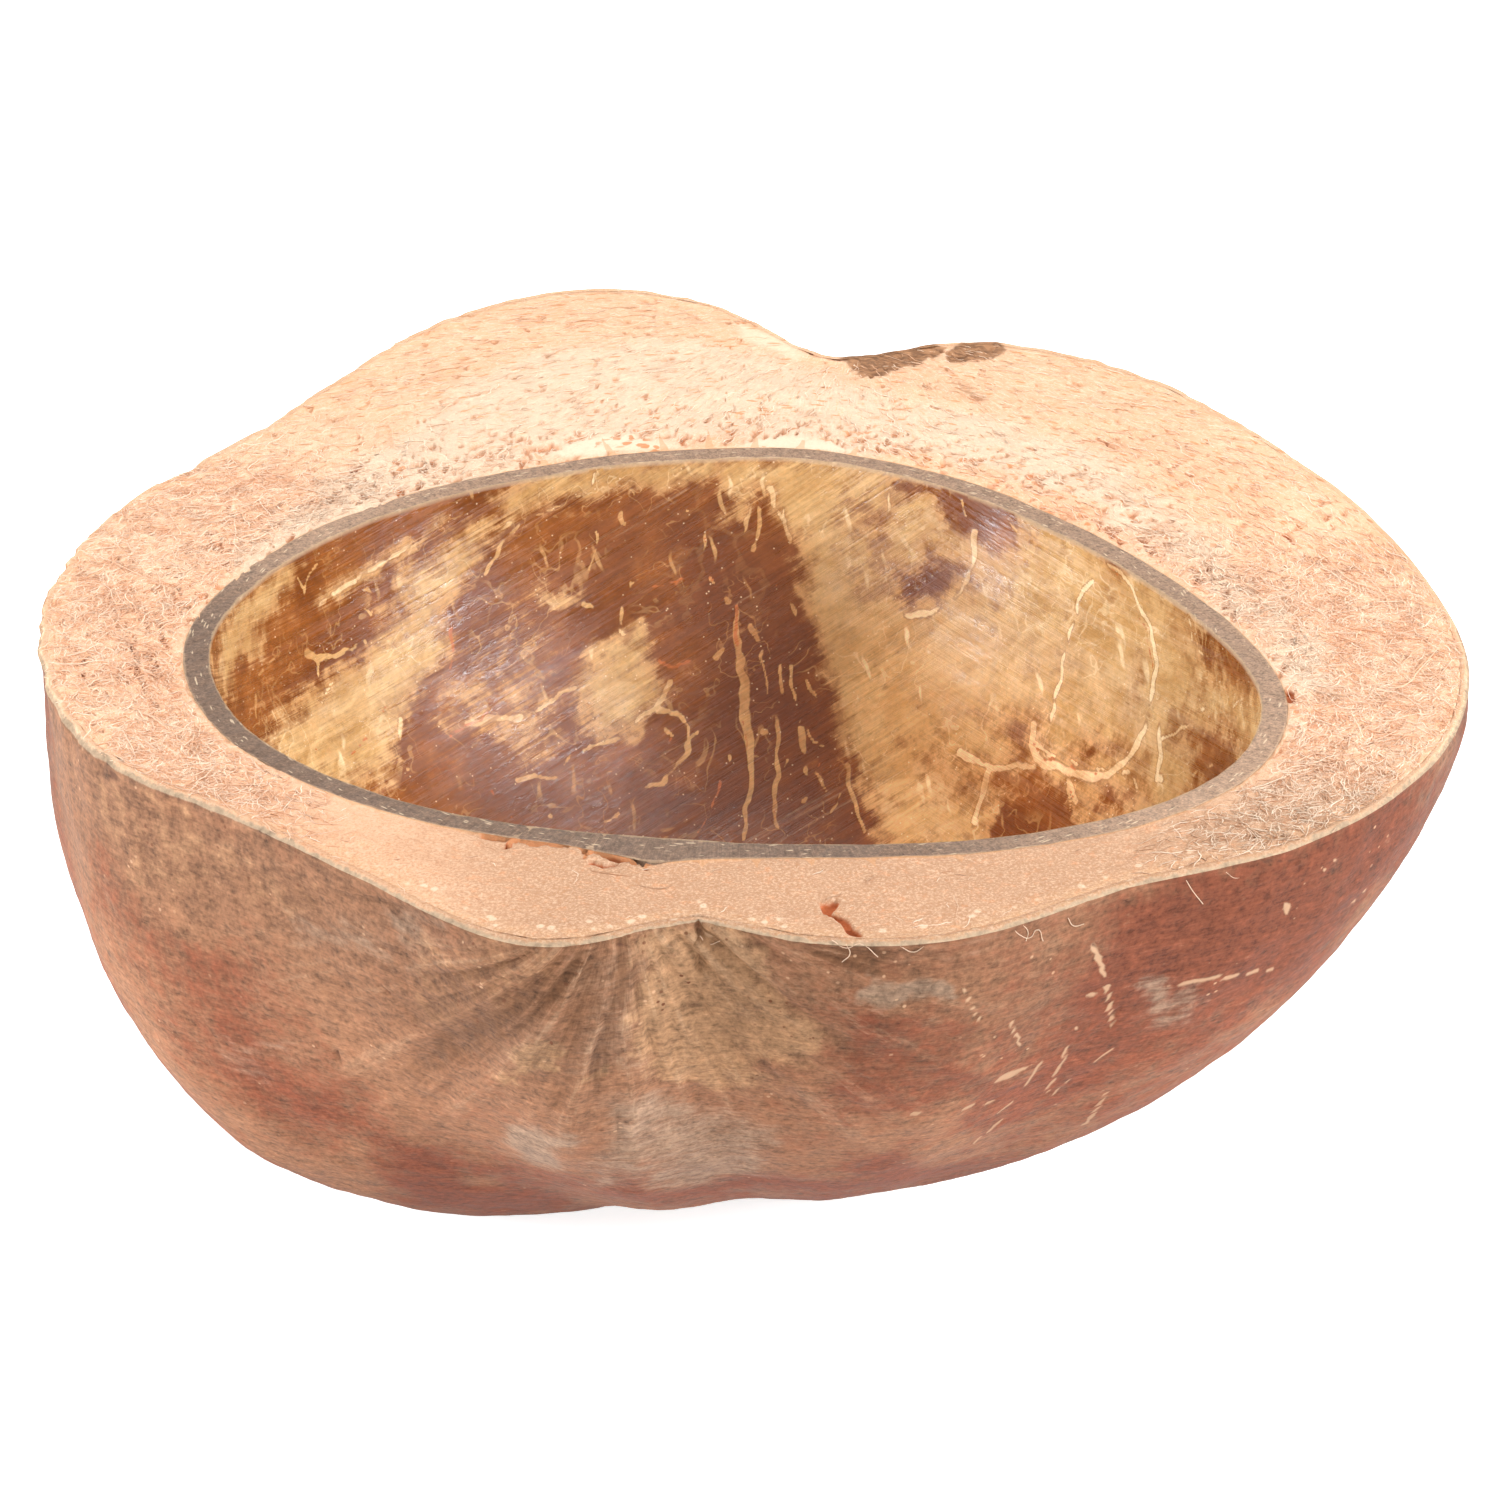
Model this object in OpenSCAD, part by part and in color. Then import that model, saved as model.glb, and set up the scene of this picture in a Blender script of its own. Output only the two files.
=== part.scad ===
// Bowl made from half a coconut, sawn lengthwise through the stem axis with the husk left on.
// Three nested layers: a thin outer skin, the thick fibre husk and the hard shell that lines the hollow.
// The cut lies level. +Y is the stem end, -Y the tip end, +Z up. The origin is on the resting face.

/* [Hard shell] */
// Width of the hard shell at the cut, side to side
shell_w = 137.4; // [115:0.2:165]
// Length of the hard shell at the cut, along the stem axis
shell_l = 117.8; // [98:0.2:142]
// Depth of the hard shell below the cut, measured outside
shell_depth = 62; // [51:0.5:74]
// Thickness of the hard shell's wall
shell_wall = 3.3; // [2.5:0.1:4.2]
// How far the keel at the tip end stands out of the shell
keel_h = 3.4; // [2.5:0.1:4.2]
// Half width of that keel where it leaves the shell
keel_half_w = 4.6; // [3.5:0.1:6]
// How far down the shell that keel runs
keel_reach = 34; // [25:1:45]

/* [Fibre husk] */
// Husk beside the shell on the left, at the cut
husk_left = 18.1; // [14:0.1:24]
// Husk beside the shell on the right, at the cut
husk_right = 22.1; // [17:0.1:28]
// Husk in front of the shell, at the tip end
husk_front = 20.6; // [16:0.1:26]
// Husk behind the shell, at the stem end
husk_back = 56; // [45:0.5:68]
// Husk under the shell
husk_below = 16.8; // [13:0.1:22]
// How much of the round bottom is lost to the flat resting face
base_cut = 6; // [4:0.5:8]

/* [Outer skin] */
// Thickness of the leathery skin
skin_t = 1.2; // [0.9:0.1:1.6]

/* [Hollow at the stem end] */
// How far the skin dips in where the stem sat
stem_notch_depth = 16; // [12:0.5:20]
// Half width of that dip
stem_notch_half_w = 16; // [12:0.5:20]
// How far the dip runs down the skin
stem_notch_reach = 42; // [32:1:52]

/* [Hollow at the tip end] */
// How far the skin dips in at the tip
tip_notch_depth = 6.7; // [5:0.1:8.4]
// Half width of that dip
tip_notch_half_w = 10.5; // [8:0.5:13]
// How far the dip runs down the skin
tip_notch_reach = 48; // [36:1:60]

/* [Hidden] */

// Directions in the cut, in degrees from +X towards +Y
stem_direction = 80;
tip_direction = 265;
keel_direction = 262.5;

// Distance of each outline from its own centre as a share of its half size, spaced evenly from +X
husk_outline_shares = [
    0.975, 0.934, 0.909, 0.914, 0.914, 0.907, 0.945, 1.035, 0.997, 0.914, 0.891, 0.948,
    0.996, 1.018, 1.014, 0.954, 0.967, 1.035, 0.990, 1.011, 0.982, 1.040, 1.065, 1.040
];
shell_outline_shares = [
    0.945, 0.875, 0.872, 0.931, 0.995, 0.987, 0.973, 0.968, 0.978,
    1.002, 1.010, 1.012, 0.996, 0.984, 1.020, 1.095, 1.128, 1.062
];
// How full the husk's side is, every 30 degrees from +X: 2 is an ellipse, less is leaner, more is boxier
husk_fullness = [1.58, 1.60, 1.65, 1.70, 1.95, 2.35, 2.60, 2.60, 1.70, 1.50, 1.57, 1.62];

directions = 96;
rings = 14;

bowl_w = shell_w + husk_left + husk_right + 2 * skin_t;
bowl_l = shell_l + husk_front + husk_back + 2 * skin_t;
bowl_h = shell_depth + husk_below + skin_t;
shell_centre = [(husk_left - husk_right) / 2, (husk_front - husk_back) / 2];

// Smooth closed curve through a table of shares that are spaced evenly round the full turn
function on_curve(before, from, to, after, part) =
    from + part / 2 * (to - before
        + part * (2 * before - 5 * from + 4 * to - after
            + part * (3 * (from - to) + after - before)));
function share_at(shares, direction) =
    let (count = len(shares), place = direction / 360 * count, first = floor(place))
    on_curve(shares[(first + count - 1) % count], shares[first % count],
        shares[(first + 1) % count], shares[(first + 2) % count], place - first);

// Point of an outline round its own centre
function outline(shares, size, direction) =
    share_at(shares, direction) * [size.x * cos(direction), size.y * sin(direction)] / 2;

// Smallest turn between two directions
function turn_between(a, b) = abs((a - b + 540) % 360 - 180);

// Length along the arc that a turn covers at some distance from the centre
function arc_between(a, b, radius) = turn_between(a, b) * PI / 180 * radius;

// Soft dip of some depth, which fades with the distance along the arc and with the drop below the cut
function dip(depth, arc, half_w, drop, reach) =
    depth * exp(-pow(arc / half_w, 2) - pow(drop / reach, 2));

// Point of the husk's round side, from the cut at part 0 to the resting face at part 1.
// The inset is measured inwards from the outside of the skin.
function side_point(direction, part, inset) =
    let (
        rim = outline(husk_outline_shares, [bowl_w, bowl_l], direction),
        radius = norm(rim),
        full = share_at(husk_fullness, direction),
        height = bowl_h - inset,
        lowest = asin(pow(height / (height + base_cut), full / 2)),
        round_depth = (height + base_cut) * pow(sin(part * lowest), 2 / full),
        narrowing = pow(cos(part * lowest), 2 / full),
        stem_dip = dip(stem_notch_depth, arc_between(direction, stem_direction, radius),
            stem_notch_half_w, round_depth, stem_notch_reach),
        tip_dip = dip(tip_notch_depth, arc_between(direction, tip_direction, radius),
            tip_notch_half_w, round_depth, tip_notch_reach),
        distance = (radius - inset - stem_dip - tip_dip) * narrowing,
        place = rim / radius * distance - bounds_centre
    )
    [place.x, place.y, bowl_h - round_depth];

// Middle of the outer rim's bounding box, which becomes the origin
rim_radii = [for (i = [0 : directions - 1])
    let (
        direction = i * 360 / directions,
        rim = outline(husk_outline_shares, [bowl_w, bowl_l], direction),
        radius = norm(rim)
    )
    rim / radius * (radius
        - dip(stem_notch_depth, arc_between(direction, stem_direction, radius),
            stem_notch_half_w, 0, stem_notch_reach)
        - dip(tip_notch_depth, arc_between(direction, tip_direction, radius),
            tip_notch_half_w, 0, tip_notch_reach))];
rim_x = [for (p = rim_radii) p.x];
rim_y = [for (p = rim_radii) p.y];
bounds_centre = [max(rim_x) + min(rim_x), max(rim_y) + min(rim_y)] / 2;

// Point of the hard shell, from the cut at part 0 to the deepest point at part 1.
// The keel stands only on the outside, where the inset is zero.
function shell_point(direction, part, inset) =
    let (
        rim = outline(shell_outline_shares, [shell_w, shell_l], direction),
        radius = norm(rim),
        drop = (shell_depth - inset) * sin(90 * part),
        arc = arc_between(direction, keel_direction, radius),
        keel = inset > 0 ? 0
            : keel_h * exp(-arc / keel_half_w - pow(drop / keel_reach, 2)),
        distance = (radius - inset + keel) * cos(90 * part),
        place = shell_centre + rim / radius * distance - bounds_centre
    )
    [place.x, place.y, bowl_h - drop];

// Rings of points from the cut downwards, and the point that closes them below
function side_rings(inset) =
    [for (k = [0 : rings - 1]) [for (i = [0 : directions - 1])
        side_point(i * 360 / directions, k / (rings - 1), inset)]];
function side_middle(inset) = [-bounds_centre.x, -bounds_centre.y, inset];
function shell_rings(inset) =
    [for (k = [0 : rings - 1]) [for (i = [0 : directions - 1])
        shell_point(i * 360 / directions, k / rings, inset)]];
function shell_middle(inset) = shell_point(0, 1, inset);

// Two triangles for each gap between neighbours of two rings that start at these point numbers
function band(upper, lower) =
    [for (i = [0 : directions - 1])
        let (next = (i + 1) % directions)
        each [[upper + i, lower + next, lower + i], [upper + i, upper + next, lower + next]]];
function fan(ring, tip) =
    [for (i = [0 : directions - 1]) [ring + i, ring + (i + 1) % directions, tip]];
function turned(faces) = [for (f = faces) [f[0], f[2], f[1]]];

// Closed open-topped vessel between an outer and an inner surface that share the level of the cut
module vessel(outer, outer_middle, inner, inner_middle) {
    ring_points = rings * directions;
    inner_start = ring_points + 1;
    points = concat([for (ring = outer) each ring], [outer_middle],
        [for (ring = inner) each ring], [inner_middle]);
    outside = concat([for (k = [0 : rings - 2]) each band(k * directions, (k + 1) * directions)],
        fan((rings - 1) * directions, ring_points));
    inside = concat(
        [for (k = [0 : rings - 2])
            each band(inner_start + k * directions, inner_start + (k + 1) * directions)],
        fan(inner_start + (rings - 1) * directions, inner_start + ring_points));
    cut_face = band(inner_start, 0);
    polyhedron(points = points, faces = concat(outside, turned(inside), cut_face));
}

module outer_skin() {
    color("sienna")
        vessel(side_rings(0), side_middle(0), side_rings(skin_t), side_middle(skin_t));
}

module fibre_husk() {
    color("peachpuff")
        vessel(side_rings(skin_t), side_middle(skin_t), shell_rings(0), shell_middle(0));
}

module hard_shell() {
    color("dimgray")
        vessel(shell_rings(0), shell_middle(0), shell_rings(shell_wall), shell_middle(shell_wall));
}

outer_skin();
fibre_husk();
hard_shell();
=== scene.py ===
"""Bowl made from half a coconut with its husk on: skin, fibre husk, hard shell and loose fibres."""
import math

import bpy
import numpy as np
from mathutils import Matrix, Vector, noise
from mathutils.bvhtree import BVHTree


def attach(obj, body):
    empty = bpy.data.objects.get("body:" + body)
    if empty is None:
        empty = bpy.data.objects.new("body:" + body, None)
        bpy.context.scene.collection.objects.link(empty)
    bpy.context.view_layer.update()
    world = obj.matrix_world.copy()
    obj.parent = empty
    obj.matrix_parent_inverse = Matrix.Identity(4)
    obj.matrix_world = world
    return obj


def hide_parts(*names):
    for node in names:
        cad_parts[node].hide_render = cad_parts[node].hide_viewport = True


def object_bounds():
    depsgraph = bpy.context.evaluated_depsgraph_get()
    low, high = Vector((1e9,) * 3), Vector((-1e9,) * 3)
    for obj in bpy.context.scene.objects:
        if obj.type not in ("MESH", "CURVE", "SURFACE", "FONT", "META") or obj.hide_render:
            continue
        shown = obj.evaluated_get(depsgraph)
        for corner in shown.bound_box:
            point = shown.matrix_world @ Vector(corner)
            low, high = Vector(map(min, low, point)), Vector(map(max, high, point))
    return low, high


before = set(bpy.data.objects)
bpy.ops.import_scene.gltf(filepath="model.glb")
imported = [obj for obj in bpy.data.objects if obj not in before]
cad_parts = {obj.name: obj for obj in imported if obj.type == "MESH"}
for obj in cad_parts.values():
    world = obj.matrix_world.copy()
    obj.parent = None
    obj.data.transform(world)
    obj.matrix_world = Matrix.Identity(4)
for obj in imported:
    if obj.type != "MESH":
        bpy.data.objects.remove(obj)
cad_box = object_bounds()

MM = 0.001
CUT = 80 * MM                                  # level of the sawn face
SKIN_AXIS = np.array((-0.2024, -0.2014)) * MM  # every direction of skin and husk is measured from here
SHELL_AXIS = np.array((-2.2024, -17.9014)) * MM
BOWL_MIDDLE = np.append(SHELL_AXIS, CUT)       # middle of the hollow's mouth
NUT_MIDDLE = np.array((0, 0, CUT / 2))
STEM = (0.016, 0.092)                          # where the fibres gather
LEVEL_SLACK = 1e-5                             # how near the cut a corner counts as lying on it
DIRECTIONS = 720                               # in which a rim's distance is kept
CLOUDY = 2.6                                   # how much softer the shell's patches are than drawn
FIBRE_PIECES = 6
FIBRES_IN_A_PIECE = 4900
WHITE = (1, 1, 1, 1)
# Fibres that cross on the sawn face: their turn, how fine each layer is, and its shift
FIBRE_LAYERS = ((38, (200, 1300, 400), 0.0), (-20, (240, 1500, 400), 3.0),
                (85, (220, 1300, 400), 7.0), (120, (280, 1600, 400), 11.0))

# The camera

PHOTO = 1500
LOOK_DOWN = math.radians(27)
LOOK_AT = np.array((0.0002, 0.0166, 0.046))
CAMERA_AWAY = 0.750
LENS = 133.73
FILM = 36.0
BACKWARDS = np.array((0, -math.cos(LOOK_DOWN), math.sin(LOOK_DOWN)))
UPWARDS = np.array((0, math.sin(LOOK_DOWN), math.cos(LOOK_DOWN)))
EYE = LOOK_AT + BACKWARDS * CAMERA_AWAY
PIXELS_PER_TURN = LENS / FILM * PHOTO
NEAR_RIM_ROW = 885  # pixel row below which the near rim hides the hollow
TIP_PIXEL = (622, 922)
GAPE_ENDS = ((472, 830), (656, 850))


def alone(piece):
    bpy.ops.object.select_all(action="DESELECT")
    piece.select_set(True)
    bpy.context.view_layer.objects.active = piece


def set_camera():
    bpy.ops.object.select_all(action="DESELECT")
    bpy.ops.object.camera_add(location=EYE, rotation=(math.pi / 2 - LOOK_DOWN, 0, 0))
    camera = bpy.context.active_object
    camera.data.lens = LENS
    camera.data.sensor_width = FILM
    camera.data.clip_start = 0.01
    bpy.context.scene.camera = camera


def in_photo(points):
    """Pixel of the photograph that each point falls on."""
    away = points - EYE
    depth = -(away @ BACKWARDS)
    across = away[:, 0] / depth * PIXELS_PER_TURN
    upward = (away @ UPWARDS) / depth * PIXELS_PER_TURN
    return np.stack((PHOTO / 2 + across, PHOTO / 2 - upward), axis=1)


def sight(pixel):
    """Direction from the eye through a pixel."""
    across = (pixel[0] - PHOTO / 2) / PIXELS_PER_TURN
    upward = (PHOTO / 2 - pixel[1]) / PIXELS_PER_TURN
    line = -BACKWARDS + across * np.array((1, 0, 0)) + upward * UPWARDS
    return line / np.linalg.norm(line)


def on_cut(pixels):
    """Points of the sawn face under these pixels, as places in the plane."""
    places = []
    for pixel in pixels:
        line = sight(pixel)
        places.append((EYE + line * (CUT - EYE[2]) / line[2])[:2])
    return np.array(places)


def on_piece(pixels, tree):
    """Points of a piece's surface that the camera sees at these pixels."""
    points = []
    for pixel in pixels:
        hit = tree.ray_cast(Vector(EYE), Vector(sight(pixel)))[0]
        if hit is not None:
            points.append(np.array(hit))
    return np.array(points)


# Reading and writing a mesh

def corners_of(piece):
    places = np.empty(len(piece.data.vertices) * 3)
    piece.data.vertices.foreach_get("co", places)
    return places.reshape(-1, 3)


def move_corners(piece, places):
    piece.data.vertices.foreach_set("co", places.astype(np.float32).ravel())
    piece.data.update()


def corner_normals(piece):
    normals = np.empty(len(piece.data.vertices) * 3)
    piece.data.vertex_normals.foreach_get("vector", normals)
    return normals.reshape(-1, 3)


def face_middles(piece):
    middles = np.empty(len(piece.data.polygons) * 3)
    normals = np.empty(len(piece.data.polygons) * 3)
    piece.data.polygons.foreach_get("center", middles)
    piece.data.polygons.foreach_get("normal", normals)
    return middles.reshape(-1, 3), normals.reshape(-1, 3)


def keep_values(piece, **kept):
    """Stores numbers for each corner of a mesh under their names, for its finish."""
    for name, values in kept.items():
        layer = piece.data.attributes.new(name, "FLOAT", "POINT")
        layer.data.foreach_set("value", np.asarray(values, dtype=np.float32))


def at_cut(places):
    """Which places lie on the sawn level."""
    return places[:, 2] > CUT - LEVEL_SLACK


def reach_along(vectors, ways):
    """How far each vector reaches along its own way."""
    return np.sum(vectors * ways, axis=1)


def beside(way):
    """Headings turned a quarter to the left."""
    return np.stack((-way[:, 1], way[:, 0]), axis=1)


def smoothly(values, low, high):
    """0 at low, 1 at high, with a soft start and end."""
    part = np.clip((values - low) / (high - low), 0, 1)
    return part * part * (3 - 2 * part)


def rough(points, size, layers=3, shift=0.0):
    """Uneven values round 0, with lumps of about this size."""
    scaled = points / size + shift
    return np.array([noise.fractal(Vector(p), 0.7, 2.1, layers) for p in scaled])


def near_strokes(points, strokes, soft=1.0):
    """How strongly each point is covered by strokes, which have corners and a half width at both ends."""
    cover = np.zeros(len(points))
    for corners, half_start, half_end in strokes:
        steps = len(corners) - 1
        for k in range(steps):
            start, end = corners[k], corners[k + 1]
            wide = half_start + (half_end - half_start) * np.array((k, k + 1)) / steps
            margin = wide.max() * (1 + soft) + 1e-6
            low = np.minimum(start, end) - margin
            high = np.maximum(start, end) + margin
            close = np.flatnonzero(np.all((points > low) & (points < high), axis=1))
            if not len(close):
                continue
            way = end - start
            along = np.clip((points[close] - start) @ way / max(way @ way, 1e-12), 0, 1)
            gap = np.linalg.norm(points[close] - start - along[:, None] * way, axis=1)
            half = wide[0] + (wide[1] - wide[0]) * along
            strength = np.clip((half * (1 + soft) - gap) / (half * soft), 0, 1)
            cover[close] = np.maximum(cover[close], strength)
    return cover


def depth_inside(places, outline):
    """Distance from an outline in the plane, above 0 inside it."""
    outline = np.array(outline, dtype=float)
    nearest = np.full(len(places), 1e9)
    inside = np.zeros(len(places), dtype=bool)
    for start, end in zip(outline, np.roll(outline, -1, axis=0)):
        way = end - start
        along = np.clip((places - start) @ way / max(way @ way, 1e-12), 0, 1)
        gap = np.linalg.norm(places - start - along[:, None] * way, axis=1)
        nearest = np.minimum(nearest, gap)
        if start[1] != end[1]:
            crosses = (places[:, 1] > min(start[1], end[1])) & (places[:, 1] <= max(start[1], end[1]))
            reach = start[0] + (places[:, 1] - start[1]) / (end[1] - start[1]) * way[0]
            inside ^= crosses & (places[:, 0] < reach)
    return np.where(inside, nearest, -nearest)


# Fine working copies of the CAD pieces

def fine_copy(node, name):
    piece = bpy.data.objects.new(name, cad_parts[node].data.copy())
    bpy.context.collection.objects.link(piece)
    piece.data.materials.clear()
    alone(piece)
    bpy.ops.object.mode_set(mode="EDIT")
    bpy.ops.mesh.select_all(action="SELECT")
    bpy.ops.mesh.remove_doubles(threshold=1e-6)
    bpy.ops.mesh.tris_convert_to_quads()
    bpy.ops.object.mode_set(mode="OBJECT")
    return piece


def sawn_faces(piece):
    middles, normals = face_middles(piece)
    return at_cut(middles) & (normals[:, 2] > 0.9)


def sawn_edges(piece):
    """How many faces of the sawn level each edge has: 1 along the rims, 2 across the sawn face."""
    mesh = piece.data
    sides = np.empty(len(mesh.polygons), dtype=int)
    mesh.polygons.foreach_get("loop_total", sides)
    edges = np.empty(len(mesh.loops), dtype=int)
    mesh.loops.foreach_get("edge_index", edges)
    return np.bincount(edges, weights=np.repeat(sawn_faces(piece), sides), minlength=len(mesh.edges))


def smooth_guide(piece):
    """A rounder copy of a piece that keeps its sawn edges, to pull the fine mesh onto."""
    guide = bpy.data.objects.new(piece.name + "_guide", piece.data.copy())
    bpy.context.collection.objects.link(guide)
    crease = guide.data.attributes.new("crease_edge", "FLOAT", "EDGE")
    crease.data.foreach_set("value", (sawn_edges(guide) == 1).astype(np.float32))
    alone(guide)
    rounder = guide.modifiers.new("rounder", "SUBSURF")
    rounder.levels = rounder.render_levels = 3
    bpy.ops.object.modifier_apply(modifier="rounder")
    return guide


def pull_onto(piece, guide):
    alone(piece)
    pull = piece.modifiers.new("pull", "SHRINKWRAP")
    pull.target = guide
    bpy.ops.object.modifier_apply(modifier="pull")


def select_only(piece, faces=None, edges=None):
    """Selects just these faces or these edges of a piece, and the piece alone."""
    mesh = piece.data
    for parts, chosen in ((mesh.vertices, None), (mesh.edges, edges), (mesh.polygons, faces)):
        parts.foreach_set("select", np.zeros(len(parts), dtype=bool) if chosen is None else chosen)
    alone(piece)
    bpy.context.tool_settings.mesh_select_mode = (False, edges is not None, faces is not None)


def split_faces(piece, chosen, cuts):
    select_only(piece, faces=chosen)
    bpy.ops.object.mode_set(mode="EDIT")
    bpy.ops.mesh.subdivide(number_cuts=cuts)
    bpy.ops.object.mode_set(mode="OBJECT")


def cut_wobble(points):
    """The saw left the face uneven and a hair under the CAD level, so loose fibres fit beneath it."""
    flat = points * (1, 1, 0)
    return rough(flat, 26 * MM, 2) * 0.25 * MM + rough(flat, 7 * MM, 2, 4.0) * 0.10 * MM - 0.40 * MM


def frayed(points):
    """Moves the outer rim in and out in small waves, most of all at the back and the left."""
    flat = points[:, :2] - SKIN_AXIS
    far = np.linalg.norm(flat, axis=1)
    heading = flat / (far[:, None] + 1e-9)  # the sum keeps the middle from dividing by zero
    ring = np.column_stack((heading * 78 * MM, np.zeros(len(points))))
    waves = rough(ring, 11 * MM, 3, 2.0) * 0.8 + rough(ring, 3 * MM, 2, 5.0) * 0.35
    where = smoothly(heading[:, 1] - 0.7 * heading[:, 0], -0.55, 0.25)
    near_top = smoothly(points[:, 2], CUT - 9 * MM, CUT)
    near_rim = smoothly(far, 42 * MM, 62 * MM)
    inward = np.clip(0.12 + waves, 0, 1.1) * where * near_top * near_rim * MM
    moved = points.copy()
    moved[:, :2] -= heading * inward[:, None]
    return moved


def tree_of(piece):
    mesh = piece.data
    return BVHTree.FromPolygons([v.co for v in mesh.vertices], [p.vertices for p in mesh.polygons])


# What the photograph shows, by pixel: outlines with a level and a softness in pixels, and strokes with
# half widths in mm at both ends

CREAM_PATCHES = (
    # left tip, the band below it and the streaks above it
    (((210, 692), (214, 646), (228, 610), (254, 588), (280, 574), (299, 569), (291, 584), (267, 614),
      (248, 640), (247, 652), (232, 668), (226, 692)), 0.95, 6),
    (((262, 746), (291, 706), (310, 691), (325, 673), (353, 663), (362, 645), (387, 633), (405, 614),
      (387, 605), (390, 577), (402, 565), (430, 562), (451, 541), (485, 523), (500, 534), (485, 553),
      (462, 584), (451, 608), (440, 627), (448, 645), (436, 676), (411, 700), (402, 737), (392, 762),
      (371, 776), (352, 800), (310, 775)), 0.9, 10),
    (((318, 600), (356, 572), (400, 545), (442, 520), (446, 526), (405, 555), (362, 582), (324, 606)),
      0.75, 4),
    (((450, 640), (478, 612), (520, 606), (548, 638), (545, 690), (505, 722), (468, 742), (436, 718)),
      0.42, 22),
    # along the back of the ring
    (((498, 524), (531, 504), (592, 496), (635, 482), (664, 491), (697, 478), (714, 462), (700, 452),
      (600, 460), (530, 474), (496, 488)), 0.92, 8),
    # blotches on the brown middle
    (((541, 596), (556, 585), (575, 581), (592, 586), (583, 599), (562, 609), (548, 607)), 0.75, 6),
    (((571, 672), (590, 652), (612, 640), (622, 628), (646, 618), (655, 636), (644, 660), (661, 682),
      (652, 706), (634, 736), (604, 742), (582, 722), (574, 698)), 0.95, 8),
    (((498, 662), (545, 650), (577, 662), (578, 700), (562, 744), (530, 770), (498, 772), (478, 722)),
      0.38, 18),
    # the tan right half: its streaky ground, then its brighter places
    (((715, 458), (725, 480), (736, 502), (720, 522), (745, 522), (757, 488), (780, 500), (792, 528),
      (799, 546), (803, 572), (810, 592), (818, 610), (818, 646), (830, 676), (832, 704), (838, 732),
      (848, 758), (862, 782), (884, 804), (902, 818), (912, 862), (1020, 860), (1100, 850), (1170, 834),
      (1240, 800), (1300, 735), (1310, 690), (1280, 630), (1220, 580), (1150, 530), (1080, 494),
      (1000, 466), (900, 452), (800, 446)), 0.84, 6),
    (((846, 560), (900, 620), (960, 600), (1050, 640), (1046, 720), (960, 750), (880, 770), (850, 700)),
      1.0, 16),
    (((750, 470), (800, 466), (862, 470), (880, 490), (850, 500), (850, 560), (880, 600), (884, 650),
      (896, 700), (900, 750), (872, 776), (850, 752), (838, 700), (822, 640), (806, 580), (796, 530),
      (762, 490)), 1.0, 9),
    (((902, 500), (950, 498), (972, 536), (964, 556), (930, 546), (904, 556)), 0.9, 9),
    (((1058, 620), (1080, 588), (1110, 574), (1140, 600), (1150, 650), (1148, 700), (1130, 742),
      (1090, 752), (1058, 744), (1050, 700)), 0.92, 9),
    (((1022, 492), (1060, 504), (1100, 528), (1110, 560), (1080, 575), (1040, 560), (1030, 530)), 0.85,
      10),
    (((1234, 700), (1262, 680), (1272, 700), (1262, 745), (1240, 765), (1228, 745)), 0.95, 6),
    (((1188, 612), (1206, 622), (1222, 660), (1212, 680), (1190, 660)), 0.95, 8),
    (((1142, 722), (1180, 722), (1178, 780), (1152, 826), (1130, 830)), 0.85, 9),
    (((870, 790), (930, 780), (985, 790), (970, 846), (900, 850)), 0.96, 9),
    (((975, 640), (1010, 600), (1040, 620), (1030, 690), (985, 700)), 0.72, 16),
)
BROWN_PATCHES = (
    (((888, 472), (964, 486), (1010, 505), (1022, 531), (1018, 556), (998, 551), (974, 523), (962, 531),
      (940, 496), (912, 491)), 0.95, 6),
    (((855, 500), (880, 494), (897, 510), (890, 540), (872, 548), (856, 530)), 0.55, 8),
    (((884, 564), (931, 551), (971, 564), (968, 588), (944, 605), (897, 610), (886, 598)), 0.75, 10),
    (((1078, 532), (1109, 542), (1134, 562), (1115, 571), (1095, 561)), 0.7, 8),
    (((981, 769), (1038, 766), (1065, 782), (1072, 809), (1077, 850), (1031, 855), (988, 850),
      (998, 816), (976, 799)), 0.8, 8),
    (((1045, 742), (1099, 739), (1132, 749), (1115, 766), (1065, 766)), 0.6, 7),
    (((1085, 786), (1132, 779), (1146, 799), (1132, 830), (1092, 836)), 0.7, 9),
    (((1182, 722), (1233, 715), (1248, 739), (1234, 776), (1190, 806), (1178, 766)), 0.75, 9),
    (((1214, 626), (1238, 628), (1266, 678), (1248, 690), (1226, 686), (1214, 662)), 0.85, 8),
    (((904, 740), (935, 755), (965, 765), (975, 772), (960, 792), (930, 777), (905, 762)), 0.25, 12),
    (((1016, 712), (1037, 719), (1033, 761), (1017, 755)), 0.6, 9),
    (((906, 690), (950, 680), (1000, 700), (1030, 720), (1020, 750), (960, 750), (915, 730)), 0.22, 12),
    (((1160, 560), (1240, 620), (1290, 690), (1240, 700), (1170, 640)), 0.35, 14),
    (((960, 500), (1010, 540), (1020, 590), (1000, 620), (975, 560)), 0.3, 12),
)
DARK_PATCHES = (
    (((650, 510), (740, 505), (780, 545), (800, 600), (815, 680), (820, 760), (700, 760), (690, 640),
      (655, 570)), 0.62, 55),
    (((470, 760), (620, 770), (740, 760), (860, 790), (880, 850), (600, 850), (430, 810)), 0.55, 50),
    (((885, 562), (970, 562), (968, 608), (890, 610)), 0.5, 14),
    (((400, 700), (420, 740), (450, 800), (430, 815), (390, 780)), 0.4, 10),
)
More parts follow.
